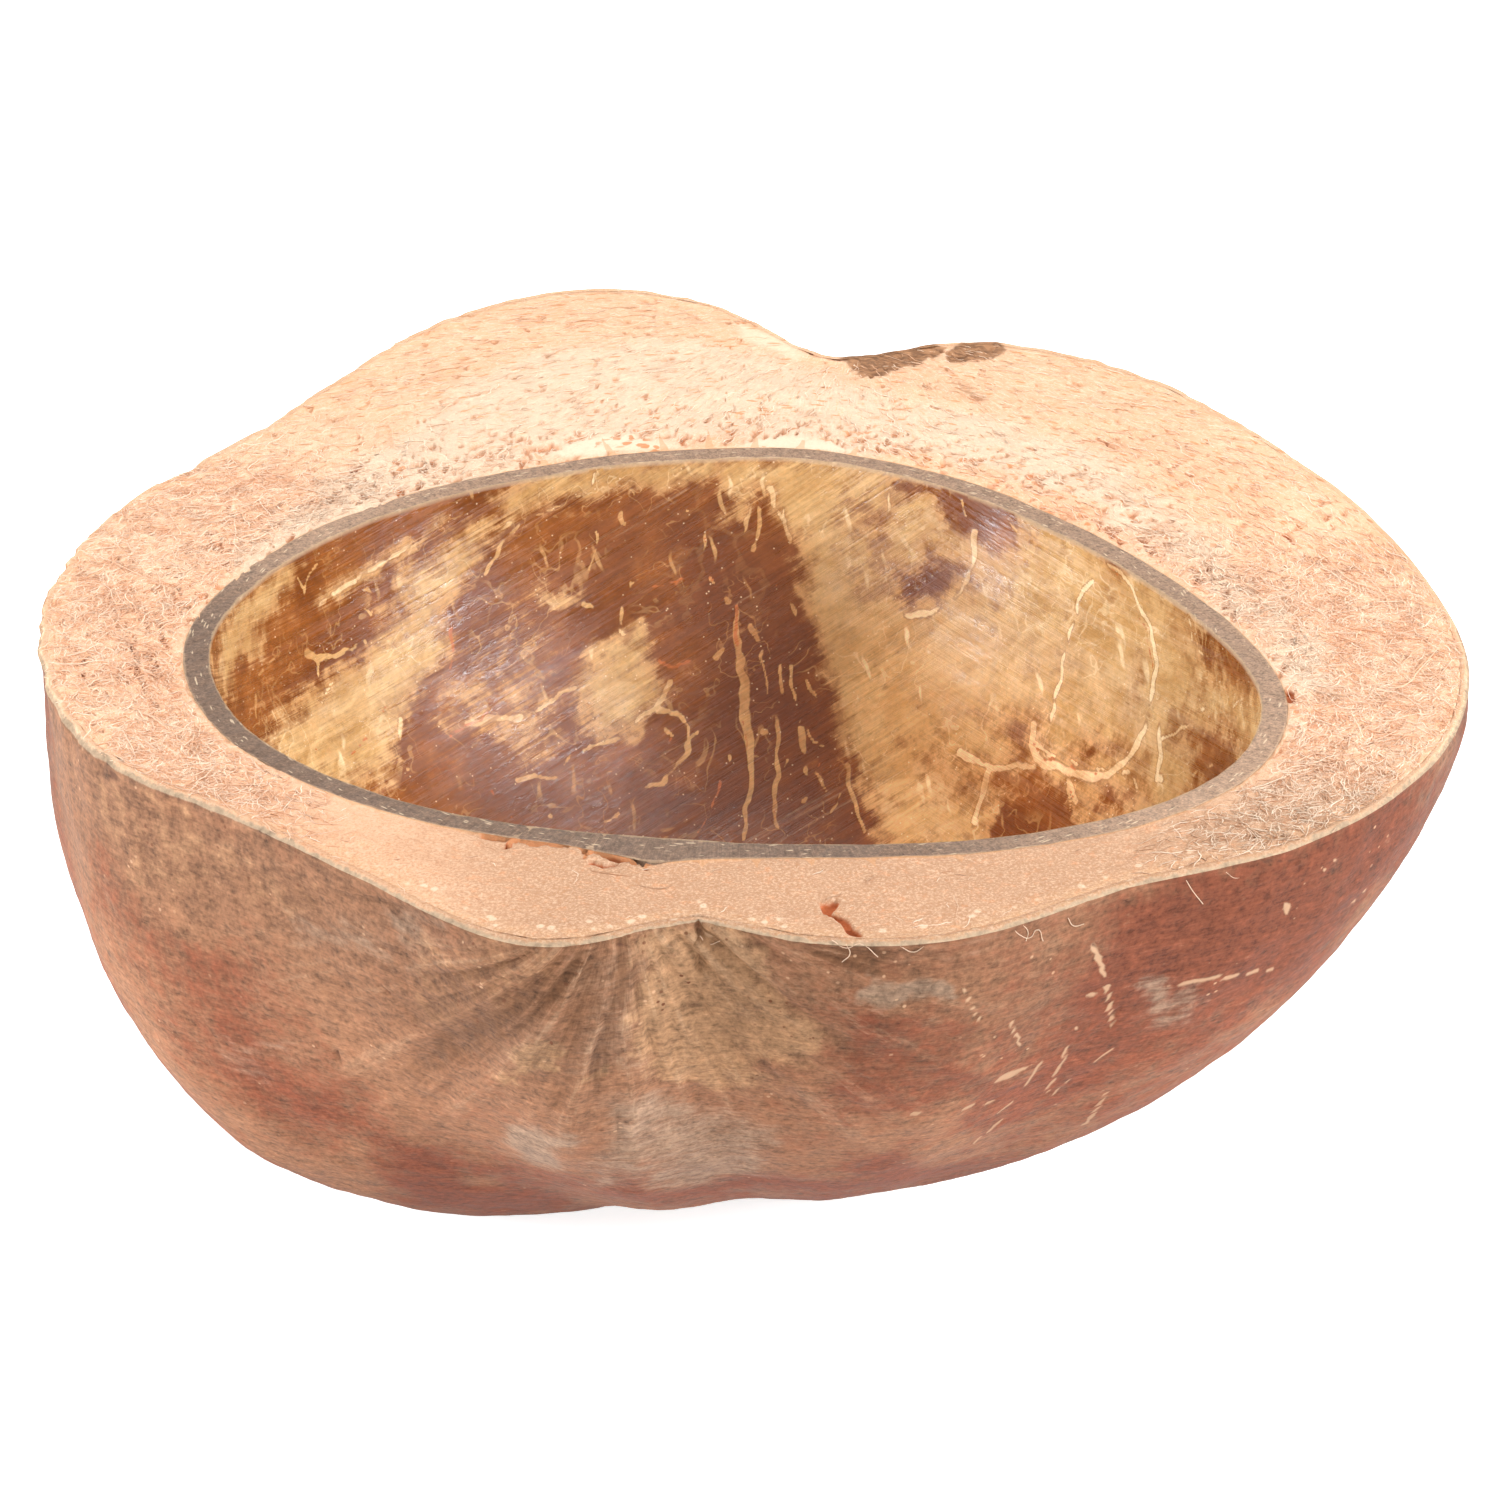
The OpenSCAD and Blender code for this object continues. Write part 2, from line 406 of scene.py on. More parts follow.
PALE_VEINS = (
    # left
    (((320, 606), (356, 577), (397, 551), (441, 522)), 0.30, 0.22),
    (((299, 574), (305, 590), (304, 614)), 0.20, 0.14),
    (((304, 596), (310, 575), (318, 560)), 0.22, 0.12),
    (((358, 598), (366, 588), (376, 600), (372, 618), (364, 610), (358, 598)), 0.17, 0.17),
    (((258, 678), (268, 664), (282, 651)), 0.24, 0.16),
    (((306, 654), (318, 662), (340, 652), (366, 645)), 0.36, 0.22),
    (((318, 660), (318, 674)), 0.26, 0.14),
    (((284, 690), (288, 700), (292, 704)), 0.16, 0.12),
    (((256, 697), (257, 714), (250, 734)), 0.24, 0.14),
    (((270, 700), (276, 722), (274, 738)), 0.15, 0.10),
    (((400, 718), (401, 740), (410, 768), (418, 802)), 0.30, 0.22),
    (((338, 668), (322, 700)), 0.16, 0.10),
    # low left of the middle
    (((556, 713), (559, 730), (562, 748)), 0.20, 0.14),
    (((516, 777), (540, 776), (556, 783), (590, 776), (620, 764)), 0.26, 0.16),
    (((556, 783), (554, 798), (556, 812)), 0.18, 0.10),
    (((468, 728), (516, 716), (550, 702), (574, 688)), 0.34, 0.22),
    (((500, 530), (520, 520), (548, 508), (586, 493)), 0.22, 0.14),
    (((484, 574), (500, 545), (521, 522)), 0.26, 0.22),
    (((596, 530), (594, 552), (586, 576)), 0.18, 0.12),
    (((580, 604), (602, 614), (612, 628), (624, 636)), 0.28, 0.20),
    (((629, 586), (627, 604), (621, 626)), 0.24, 0.18),
    (((618, 582), (628, 588), (636, 582)), 0.14, 0.10),
    (((648, 622), (660, 636), (668, 650), (673, 656)), 0.20, 0.14),
    (((654, 708), (668, 711), (678, 715), (685, 728), (688, 742), (682, 758), (674, 770)), 0.30, 0.26),
    (((674, 770), (662, 780), (646, 789)), 0.24, 0.16),
    (((687, 742), (698, 734), (709, 726)), 0.20, 0.12),
    (((670, 682), (660, 698), (640, 716), (627, 735)), 0.26, 0.20),
    (((627, 735), (604, 742), (574, 756), (560, 768)), 0.22, 0.12),
    (((595, 828), (606, 820), (619, 812)), 0.24, 0.16),
    (((548, 818), (553, 828)), 0.30, 0.16),
    # middle
    (((705, 534), (706, 552), (709, 570)), 0.24, 0.20),
    (((713, 580), (720, 592), (727, 606)), 0.18, 0.26),
    (((735, 617), (740, 638), (742, 662), (744, 690)), 0.28, 0.46),
    (((744, 690), (746, 712), (747, 736), (749, 760)), 0.48, 0.50),
    (((749, 760), (748, 785), (747, 812), (746, 838)), 0.44, 0.14),
    (((779, 650), (782, 681), (780, 704)), 0.10, 0.28),
    (((780, 704), (778, 743), (776, 780), (778, 806), (781, 826)), 0.34, 0.24),
    (((790, 662), (791, 688), (796, 702), (801, 722)), 0.20, 0.12),
    (((803, 728), (804, 750), (805, 774)), 0.32, 0.20),
    (((806, 681), (810, 692), (818, 700)), 0.20, 0.14),
    (((808, 726), (814, 738), (824, 744)), 0.18, 0.12),
    (((812, 770), (820, 782), (826, 792)), 0.22, 0.12),
    (((803, 800), (810, 796), (815, 789)), 0.22, 0.14),
    (((830, 814), (838, 804), (841, 796)), 0.22, 0.12),
    (((844, 767), (854, 790), (861, 812), (868, 832), (870, 850)), 0.34, 0.26),
    (((745, 544), (748, 520), (754, 500)), 0.24, 0.20),
    (((757, 550), (760, 524), (758, 499)), 0.20, 0.16),
    (((767, 488), (775, 508), (786, 524), (789, 542), (787, 558)), 0.28, 0.24),
    (((786, 524), (784, 508)), 0.14, 0.12),
    (((760, 569), (763, 583)), 0.18, 0.12),
    (((793, 602), (797, 622)), 0.28, 0.20),
    (((622, 494), (622, 512), (624, 524)), 0.26, 0.22),
    (((628, 516), (632, 500), (628, 490)), 0.20, 0.14),
    (((632, 512), (642, 514)), 0.26, 0.14),
    (((752, 628), (758, 640), (766, 643), (760, 658), (764, 672), (770, 690)), 0.22, 0.12),
    (((680, 612), (690, 620)), 0.24, 0.16),
    (((669, 508), (680, 511)), 0.20, 0.14),
    (((686, 500), (694, 508), (700, 506)), 0.16, 0.10),
    (((725, 757), (727, 772)), 0.20, 0.14),
    (((789, 758), (784, 770)), 0.24, 0.16),
    (((664, 730), (672, 736)), 0.30, 0.20),
    (((716, 656), (724, 648)), 0.28, 0.18),
    (((592, 486), (596, 470)), 0.18, 0.12),
    (((762, 734), (763, 735)), 0.42, 0.42),
    (((809, 826), (826, 842), (850, 838)), 0.20, 0.12),
    # right
    (((976, 530), (974, 560), (966, 584), (952, 602), (930, 612), (902, 612)), 0.42, 0.30),
    (((888, 486), (888, 520), (884, 542)), 0.20, 0.16),
    (((948, 484), (962, 496), (970, 516)), 0.22, 0.16),
    (((1004, 508), (1018, 530), (1030, 548)), 0.26, 0.14),
    (((1100, 568), (1078, 598), (1068, 632), (1064, 660), (1054, 698), (1049, 728)), 0.22, 0.26),
    (((1034, 722), (1034, 744), (1044, 762), (1064, 774), (1092, 776)), 0.42, 0.50),
    (((1092, 776), (1118, 768), (1136, 752), (1146, 730), (1152, 700)), 0.46, 0.40),
    (((1152, 700), (1155, 664), (1148, 624), (1136, 594), (1122, 572), (1106, 558)), 0.36, 0.22),
    (((1038, 738), (1052, 754), (1074, 766), (1100, 767), (1124, 756)), 0.20, 0.16),
    (((958, 750), (974, 760), (992, 768), (1034, 764)), 0.38, 0.28),
    (((988, 771), (980, 796), (976, 818), (968, 842)), 0.34, 0.34),
    (((1066, 782), (1073, 800), (1077, 838)), 0.34, 0.42),
    (((1058, 778), (1066, 792), (1068, 812)), 0.18, 0.12),
    (((1124, 774), (1136, 786), (1140, 796)), 0.26, 0.14),
    (((1156, 714), (1160, 744), (1156, 780), (1146, 810), (1134, 836)), 0.40, 0.44),
    (((1158, 742), (1182, 730), (1202, 712), (1212, 706)), 0.22, 0.18),
    (((1212, 706), (1222, 712), (1230, 704), (1244, 698)), 0.20, 0.12),
    (((1180, 802), (1192, 776), (1200, 766), (1214, 762)), 0.18, 0.12),
    (((1188, 618), (1194, 640), (1206, 654)), 0.18, 0.12),
    (((1076, 828), (1094, 832), (1104, 828)), 0.18, 0.12),
)
RUST_VEINS = (
    (((703, 532), (706, 546)), 0.16, 0.12),
    (((712, 578), (718, 586)), 0.12, 0.10),
    (((733, 612), (738, 628), (740, 648)), 0.22, 0.16),
    (((651, 587), (664, 581), (678, 576), (692, 579)), 0.15, 0.12),
    (((660, 665), (676, 667), (691, 662)), 0.26, 0.16),
    (((718, 780), (710, 806), (698, 832)), 0.16, 0.12),
    (((492, 791), (502, 804), (512, 816)), 0.18, 0.12),
    (((450, 632), (452, 652), (450, 668)), 0.24, 0.14),
    (((778, 808), (782, 826)), 0.16, 0.10),
    (((745, 700), (744, 760)), 0.10, 0.08),
    (((818, 760), (812, 772)), 0.12, 0.08),
    (((1036, 740), (1056, 762), (1080, 772)), 0.10, 0.10),
    (((1046, 756), (1062, 768), (1094, 772), (1124, 764)), 0.12, 0.10),
    (((1060, 778), (1072, 800)), 0.10, 0.10),
    (((345, 783), (350, 758), (366, 732), (386, 708)), 0.13, 0.09),
    (((308, 752), (330, 748), (352, 742)), 0.09, 0.06),
    (((1128, 594), (1144, 626), (1150, 668)), 0.10, 0.08),
    (((1108, 560), (1120, 578)), 0.12, 0.08),
    (((765, 570), (768, 574)), 0.16, 0.12),
    (((775, 584), (774, 596)), 0.14, 0.10),
    (((452, 738), (500, 712), (558, 682)), 0.13, 0.09),
    (((670, 740), (664, 744)), 0.16, 0.10),
)
RING_CRACK = (((1160, 818), (1166, 822), (1173, 828)), 0.12, 0.10)

HUSK_CREAM = ((212, 604), (258, 540), (330, 478), (420, 418), (470, 378), (560, 345), (680, 338), (760, 350),
              (830, 378), (930, 404), (1010, 414), (1100, 458), (1180, 522), (1262, 592), (1318, 680),
              (1292, 724), (1270, 640), (1200, 566), (1100, 502), (1000, 468), (900, 446), (700, 436),
              (560, 450), (420, 496), (300, 556), (232, 620))
HUSK_CRACKS = (
    (((592, 860), (604, 863), (616, 861)), 0.38, 0.3),
    (((824, 898), (828, 908), (842, 914), (850, 924), (857, 930)), 0.26, 0.5),
    (((834, 898), (828, 907)), 0.5, 0.3),
    (((126, 638), (132, 652), (136, 666), (143, 690)), 0.20, 0.22),
    (((226, 508), (236, 516)), 0.3, 0.14),
    (((352, 468), (368, 458)), 0.4, 0.16),
    (((276, 522), (262, 530)), 0.4, 0.16),
    (((154, 618), (161, 626)), 0.4, 0.2),
    (((1288, 690), (1290, 697)), 0.7, 0.6),
    (((152, 700), (158, 707)), 0.3, 0.14),
    (((78, 662), (84, 664)), 0.3, 0.12),
    (((972, 392), (990, 396)), 0.4, 0.16),
    (((1284, 530), (1296, 540)), 0.4, 0.14),
    (((1100, 434), (1118, 446)), 0.3, 0.1),
)
HUSK_TORN = (
    (((836, 358), (866, 350), (890, 343), (930, 338), (946, 344), (936, 356), (904, 362), (884, 376),
      (858, 372)), 0.9, 5),
    (((944, 350), (962, 338), (996, 338), (1008, 346), (996, 356), (966, 362), (950, 360)), 0.95, 5),
    (((940, 372), (962, 374), (990, 388), (984, 396), (958, 388)), 0.5, 5),
    (((1010, 346), (1060, 362), (1130, 394), (1124, 400), (1056, 372)), 0.35, 5),
)
HUSK_LENSES = (
    ((548, 452), (572, 438), (604, 432), (640, 433), (680, 441), (690, 445), (640, 447), (590, 452)),
    ((736, 445), (760, 436), (800, 434), (836, 440), (858, 450), (800, 447)),
    ((738, 322), (766, 330), (792, 342), (806, 352), (796, 356), (764, 344), (740, 334)),
)

SKIN_GREYS = (
    (((380, 905), (440, 915), (440, 975), (395, 975)), 0.7, 20),
    (((516, 1110), (582, 1118), (575, 1168), (520, 1165)), 0.9, 16),
    (((283, 925), (380, 935), (375, 970), (290, 965)), 0.55, 18),
    (((203, 1035), (283, 1045), (280, 1068), (210, 1060)), 0.5, 16),
    (((620, 1100), (760, 1110), (770, 1180), (610, 1185)), 0.75, 22),
    (((884, 974), (946, 978), (946, 998), (870, 1000)), 0.95, 7),
    (((1156, 990), (1222, 988), (1220, 1012), (1160, 1012)), 0.7, 9),
    (((520, 1000), (560, 1040), (540, 1090), (500, 1060)), 0.35, 14),
    (((680, 930), (800, 935), (1000, 925), (1060, 930), (900, 960), (760, 955)), 0.3, 18),
    (((560, 940), (640, 935), (640, 1080), (570, 1080)), 0.45, 22),
)
SKIN_DARKS = (
    (((450, 950), (600, 935), (560, 1040), (430, 1110), (380, 1070)), 0.42, 34),
    (((560, 940), (640, 935), (640, 1060), (570, 1130)), 0.36, 22),
    (((760, 935), (880, 945), (900, 985), (800, 990)), 0.40, 22),
    (((618, 925), (630, 932), (628, 1010), (612, 1004)), 0.95, 10),
    (((580, 945), (600, 950), (566, 1000), (520, 1016), (548, 985)), 0.9, 11),
    (((590, 1022), (600, 1030), (588, 1140), (574, 1136), (580, 1070)), 0.6, 8),
    (((470, 985), (560, 975), (520, 1030), (460, 1045)), 0.55, 16),
    (((808, 940), (890, 946), (884, 976), (850, 972), (810, 956)), 0.85, 9),
    (((430, 1050), (530, 1040), (510, 1100), (440, 1110)), 0.28, 18),
    (((280, 890), (330, 896), (330, 915), (286, 910)), 0.4, 9),
)
SKIN_TANS = (
    (((630, 930), (770, 940), (820, 1060), (700, 1085), (630, 1060)), 0.95, 22),
    (((516, 1040), (562, 1044), (560, 1086), (516, 1084)), 1.0, 8),
    (((592, 1064), (604, 1066), (604, 1086), (592, 1084)), 1.0, 3),
    (((400, 940), (540, 930), (560, 990), (430, 1060)), 0.4, 25),
    (((70, 730), (160, 770), (330, 900), (330, 960), (120, 850)), 0.4, 28),
)
SKIN_REDS = (
    (((1100, 900), (1440, 760), (1420, 860), (1250, 1050), (1000, 1150), (960, 1100)), 0.9, 50),
    (((60, 830), (160, 900), (300, 1000), (420, 1170), (250, 1130), (120, 990)), 0.5, 40),
    (((380, 1160), (700, 1190), (1000, 1150), (1100, 1170), (700, 1230), (400, 1230)), 0.8, 25),
    (((830, 1000), (980, 1010), (1000, 1100), (850, 1110)), 0.6, 30),
)
SKIN_SCRATCHES = (
    (((1092, 944), (1098, 958), (1104, 974)), 0.34, 0.26),
    (((1107, 986), (1111, 1010), (1114, 1032)), 0.30, 0.20),
    (((1070, 1046), (1060, 1066), (1047, 1094)), 0.26, 0.20),
    (((1041, 1062), (1034, 1072), (1024, 1088)), 0.36, 0.22),
    (((1002, 1078), (1012, 1074), (1022, 1070)), 0.80, 0.50),
    (((1117, 1048), (1106, 1054), (1094, 1062)), 0.22, 0.14),
    (((1107, 1093), (1096, 1108), (1084, 1124)), 0.22, 0.30),
    (((1002, 1118), (988, 1130), (972, 1143)), 0.26, 0.16),
    (((1013, 1101), (1005, 1108), (998, 1113)), 0.30, 0.20),
    (((962, 1107), (980, 1104), (998, 1102)), 0.22, 0.18),
    (((1010, 1022), (1016, 1034), (1021, 1046)), 0.24, 0.18),
    (((962, 986), (970, 1002), (979, 1020)), 0.20, 0.14),
    (((1182, 984), (1220, 978), (1256, 974), (1284, 969)), 0.42, 0.14),
    (((1364, 892), (1352, 904)), 0.24, 0.18),
    (((1337, 858), (1321, 870)), 0.20, 0.14),
    (((1091, 996), (1094, 997)), 0.45, 0.40),
    (((1076, 1028), (1077, 1032)), 0.30, 0.22),
    (((1288, 906), (1289, 914)), 0.40, 0.26),
    (((910, 1110), (922, 1113)), 0.3, 0.2),
    (((948, 1128), (956, 1126)), 0.24, 0.2),
    (((1068, 1082), (1050, 1098)), 0.22, 0.14),
    (((700, 932), (712, 938)), 0.2, 0.1),
)
SKIN_SLITS = (
    (((1240, 855), (1266, 857), (1296, 857)), 0.22, 0.12),
    (((110, 770), (134, 780), (164, 792)), 0.16, 0.08),
    (((1092, 940), (1098, 952)), 0.14, 0.10),
    (((1116, 1008), (1112, 1036)), 0.14, 0.10),
    (((296, 896), (300, 899)), 0.2, 0.1),
    (((320, 907), (324, 910)), 0.2, 0.1),
    (((234, 899), (238, 902)), 0.2, 0.1),
    (((262, 1078), (264, 1081)), 0.25, 0.2),
    (((380, 985), (395, 998)), 0.12, 0.08),
    (((334, 1052), (344, 1066)), 0.14, 0.1),
    (((356, 1076), (366, 1090)), 0.12, 0.08),
    (((1232, 1060), (1242, 1058)), 0.12, 0.08),
    (((622, 926), (618, 944)), 0.3, 0.2),
)

EDGE_FIBRES = (
    ((1012, 927), (1020, 935), (1031, 937), (1036, 930), (1043, 941)),
    ((1022, 924), (1028, 932), (1026, 941)),
    ((1186, 880), (1192, 890), (1203, 904)),
    ((1226, 872), (1236, 878), (1250, 873)),
    ((832, 940), (846, 948), (860, 944), (878, 957)),
    ((846, 944), (850, 954), (842, 962)),
    ((1336, 828), (1330, 836), (1341, 842)),
    ((900, 946), (914, 952), (924, 946)),
    ((1068, 918), (1074, 926), (1084, 924)),
    ((700, 936), (708, 944), (720, 941)),
)
LONG_FIBRES = (
    ((1369, 677), (1386, 686), (1399, 686), (1420, 668), (1438, 647)),
    ((1296, 760), (1322, 752), (1350, 760), (1376, 750)),
    ((90, 700), (112, 716), (140, 712), (166, 726)),
    ((96, 640), (118, 628), (146, 634), (168, 622)),
    ((560, 330), (590, 322), (622, 326), (650, 318)),
    ((1330, 560), (1352, 580), (1380, 590), (1392, 612)),
    ((380, 420), (404, 410), (430, 414), (452, 402)),
)


def covered(places, outline, soft):
    """1 well inside an outline, 0 well outside it, soft between."""
    return smoothly(depth_inside(places, outline), -soft, soft)


def deepest(pixels, patches):
    """The strongest of some soft-edged patches at each pixel."""
    level = np.zeros(len(pixels))
    for outline, target, soft in patches:
        level = np.maximum(level, target * covered(pixels, outline, soft))
    return level


def patched(pixels, patches, lost):
    """Level at each pixel once cloudy-edged patches are laid down, and some of it lost again."""
    level = deepest(pixels, [(outline, target, CLOUDY * soft + 8) for outline, target, soft in patches])
    for outline, share, soft in lost:
        level *= 1 - share * covered(pixels, outline, CLOUDY * soft + 6)
    return level


def flat_strokes(strokes):
    return [(on_cut(pixels), a * MM, b * MM) for pixels, a, b in strokes]


def hung_strokes(strokes, tree):
    laid = [(on_piece(pixels, tree), a * MM, b * MM) for pixels, a, b in strokes]
    return [stroke for stroke in laid if len(stroke[0]) > 1]


def husk_zones(points):
    """Colour zones of the sawn husk, which its fibres and the skin's rim share."""
    flat = points[:, :2]
    wander = np.stack((rough(points, 9 * MM, 2), rough(points, 9 * MM, 2, 7.0)), axis=1) * 3 * MM
    cream = smoothly(depth_inside(flat + wander, on_cut(HUSK_CREAM)), -7 * MM, 6 * MM)
    back = smoothly(points[:, 1], 20 * MM, 60 * MM)
    torn = deepest(in_photo(points) + wander / MM * 2, HUSK_TORN)
    lens = np.zeros(len(points))
    for outline in HUSK_LENSES:
        lens = np.maximum(lens, smoothly(depth_inside(flat, on_cut(outline)), -0.8 * MM, 1.0 * MM))
    return {"cream": cream, "back": back, "torn": torn, "lens": lens}


def rim_reach(guide, axis, outermost):
    """Distance of a rim from an axis, by direction."""
    level = corners_of(guide)
    level = level[at_cut(level)][:, :2] - axis
    turns = np.arctan2(level[:, 1], level[:, 0])
    far = np.linalg.norm(level, axis=1)
    slots = np.round((turns + math.pi) / math.tau * DIRECTIONS).astype(int) % DIRECTIONS
    reach = np.full(DIRECTIONS, -1.0 if outermost else 9.0)
    furthest = np.maximum if outermost else np.minimum
    furthest.at(reach, slots, far)
    filled = np.flatnonzero((reach > 0) & (reach < 9))
    directions = filled / DIRECTIONS * math.tau - math.pi
    directions = np.concatenate((directions - math.tau, directions, directions + math.tau))
    return directions, np.tile(reach[filled], 3)


def gap_to(rim, axis, flat):
    """How much further out than these places a rim lies."""
    offset = flat - axis
    return np.interp(np.arctan2(offset[:, 1], offset[:, 0]), *rim) - np.linalg.norm(offset, axis=1)


set_camera()

skin = fine_copy("outer_skin", "skin_fine")
husk = fine_copy("fibre_husk", "husk_fine")
shell = fine_copy("hard_shell", "shell_fine")
skin_guide = smooth_guide(skin)
husk_guide = smooth_guide(husk)
shell_guide = smooth_guide(shell)
skin_tree = tree_of(skin_guide)
shell_tree = tree_of(shell_guide)
veins = hung_strokes(PALE_VEINS, shell_tree)
rusts = hung_strokes(RUST_VEINS, shell_tree)
skin_rim = rim_reach(skin_guide, SKIN_AXIS, outermost=True)
husk_rim = rim_reach(husk_guide, SKIN_AXIS, outermost=True)
husk_hole = rim_reach(husk_guide, SHELL_AXIS, outermost=False)
shell_rim = rim_reach(shell_guide, SHELL_AXIS, outermost=True)
shell_mouth = rim_reach(shell_guide, SHELL_AXIS, outermost=False)


# Skin

def split_skin():
    """Outside and rim are split finely, the hidden inside stays coarse."""
    middles, normals = face_middles(skin)
    split_faces(skin, reach_along(normals, middles - NUT_MIDDLE) > 0, 7)
    pull_onto(skin, skin_guide)


def fan_below_tip(points):
    """Turn and distance from the dip at the tip, where streaks fan out, and how strong they are."""
    tip = on_cut([TIP_PIXEL])[0]
    aside = points[:, 0] - tip[0]
    below = CUT + 8 * MM - points[:, 2]
    away = np.hypot(aside, below)
    strength = np.exp(-(away / (52 * MM)) ** 2) * smoothly(-points[:, 1], 20 * MM, 50 * MM)
    return np.arctan2(aside, below), away, strength


def shape_skin():
    points = corners_of(skin)
    facing = corner_normals(skin)
    pixels = in_photo(points)
    rim = at_cut(points)
    outer = (reach_along(facing, points - NUT_MIDDLE) > 0) & ~rim
    front = smoothly(reach_along(facing, EYE - points), 0.02, 0.12) * (pixels[:, 1] > 560)
    front = np.maximum(front, rim * (points[:, 1] < 0))
    turn, away, fan_near = fan_below_tip(points)
    grooves = 1.6 * np.array([noise.fractal(Vector((t * 8, a * 22, 3)), 0.6, 2.0, 4)
                              for t, a in zip(turn, away)])
    scratches = near_strokes(points, hung_strokes(SKIN_SCRATCHES, skin_tree), 0.8)
    slits = near_strokes(points, hung_strokes(SKIN_SLITS, skin_tree), 0.8)
    shake = np.stack((rough(points, 13 * MM, 4, 1.0), rough(points, 13 * MM, 4, 6.0)), axis=1)
    wandered = pixels + 34 * shake
    tans = deepest(wandered, SKIN_TANS) * front
    bumps = rough(points, 22 * MM, 2) * 0.55 + rough(points, 5 * MM, 3, 2.0) * 0.14
    bumps += tans * rough(points, 1.8 * MM, 2, 9.0) * 0.10
    bumps += fan_near * grooves * 0.55 - slits * 0.35 - scratches * 0.08
    # the outside eases back to the true rim just under the saw cut
    lift = np.where(outer, bumps * MM, 0)
    lift *= smoothly(CUT - points[:, 2], 0, 3 * MM) * smoothly(points[:, 2], 0.2 * MM, 4 * MM)
    moved = points + facing * np.clip(lift, -0.8 * MM, 0.6 * MM)[:, None]
    # the saw rolled the rim's outer edge down and left a thin line standing behind it
    inset = np.clip(np.where(rim, gap_to(skin_rim, SKIN_AXIS, points[:, :2]), 0) / MM, 0, 2)
    rolled = -0.45 * np.exp(-(inset / 0.28) ** 2) + 0.10 * np.exp(-((inset - 0.55) / 0.25) ** 2)
    moved[:, 2] += np.where(rim, rolled * MM, 0)
    moved[:, 2] += cut_wobble(points) * smoothly(points[:, 2], CUT - 8 * MM, CUT)
    move_corners(skin, frayed(moved))
    zones = {}
    for name, values in husk_zones(points[rim]).items():
        zones[name] = np.zeros(len(points))
        zones[name][rim] = values
    keep_values(skin, rim_inset=np.where(rim, inset, -1), outer_gap=inset,
                inner_gap=np.full(len(points), 20), **zones)
    keep_values(skin, fan_turn=turn, fan_away=away / MM, fan_near=fan_near, fan=fan_near * grooves)
    keep_values(skin, grey=deepest(wandered, SKIN_GREYS) * front, red=deepest(wandered, SKIN_REDS) * front,
                dark=deepest(wandered * 0.4 + pixels * 0.6, SKIN_DARKS) * front, tan=tans,
                seen=front, scratch=scratches, slit=slits)


split_skin()
shape_skin()


# Husk

def split_husk():
    """Only the sawn face shows, so only it is split: first along its rungs, then both ways."""
    select_only(husk, edges=sawn_edges(husk) == 2)
    bpy.ops.object.mode_set(mode="EDIT")
    bpy.ops.mesh.subdivide_edgering(number_cuts=5, interpolation="LINEAR", smoothness=0)
    bpy.ops.object.mode_set(mode="OBJECT")
    split_faces(husk, sawn_faces(husk), 10)
    pull_onto(husk, husk_guide)


def fibre_way(flat):
    """Heading of the fibres on the sawn face: round the nut, gathering at the stem."""
    round_nut = np.stack((-(flat[:, 1] - SHELL_AXIS[1]), flat[:, 0] - SHELL_AXIS[0]), axis=1)
    round_nut /= np.linalg.norm(round_nut, axis=1)[:, None]
    to_stem = np.array((16, 88)) * MM - flat
    to_stem /= np.linalg.norm(to_stem, axis=1)[:, None] + 1e-9
    round_nut *= np.sign(reach_along(round_nut, to_stem) + 1e-9)[:, None]
    share = (smoothly(flat[:, 1], -20 * MM, 50 * MM) * smoothly(-flat[:, 0], -50 * MM, 10 * MM))[:, None]
    way = round_nut * (1 - share) + to_stem * (0.35 + share)
    return way / np.linalg.norm(way, axis=1)[:, None]


def rim_gap(flat):
    """Distance in from the husk's outer edge."""
    return gap_to(husk_rim, SKIN_AXIS, flat)


def ring_gap(flat):
    """Distance out from the hard shell."""
    return -gap_to(husk_hole, SHELL_AXIS, flat)


def fibre_grain(flat, way):
    """Fine grain, drawn out along the fibres."""
    along = reach_along(flat, way) / MM
    across = reach_along(flat, beside(way)) / MM
    return np.array([noise.noise(Vector((a / 3.2, c / 0.75, h * 3)))
                     for a, c, h in zip(along, across, np.arctan2(way[:, 1], way[:, 0]))])


def front_gape(points, inner_gap):
    """The husk has come away from the shell at the front left."""
    start, end = on_cut(GAPE_ENDS)[:, 0]
    gape = smoothly(points[:, 0], start - 1 * MM, start + 2 * MM)
    gape *= smoothly(-points[:, 0], -end - 1 * MM, 2 * MM - end)
    reach = 0.55 + 1.1 * rough(points, 4 * MM, 3, 1.0)
    return gape * smoothly(reach - inner_gap, 0, 0.3) * (points[:, 1] < 0)


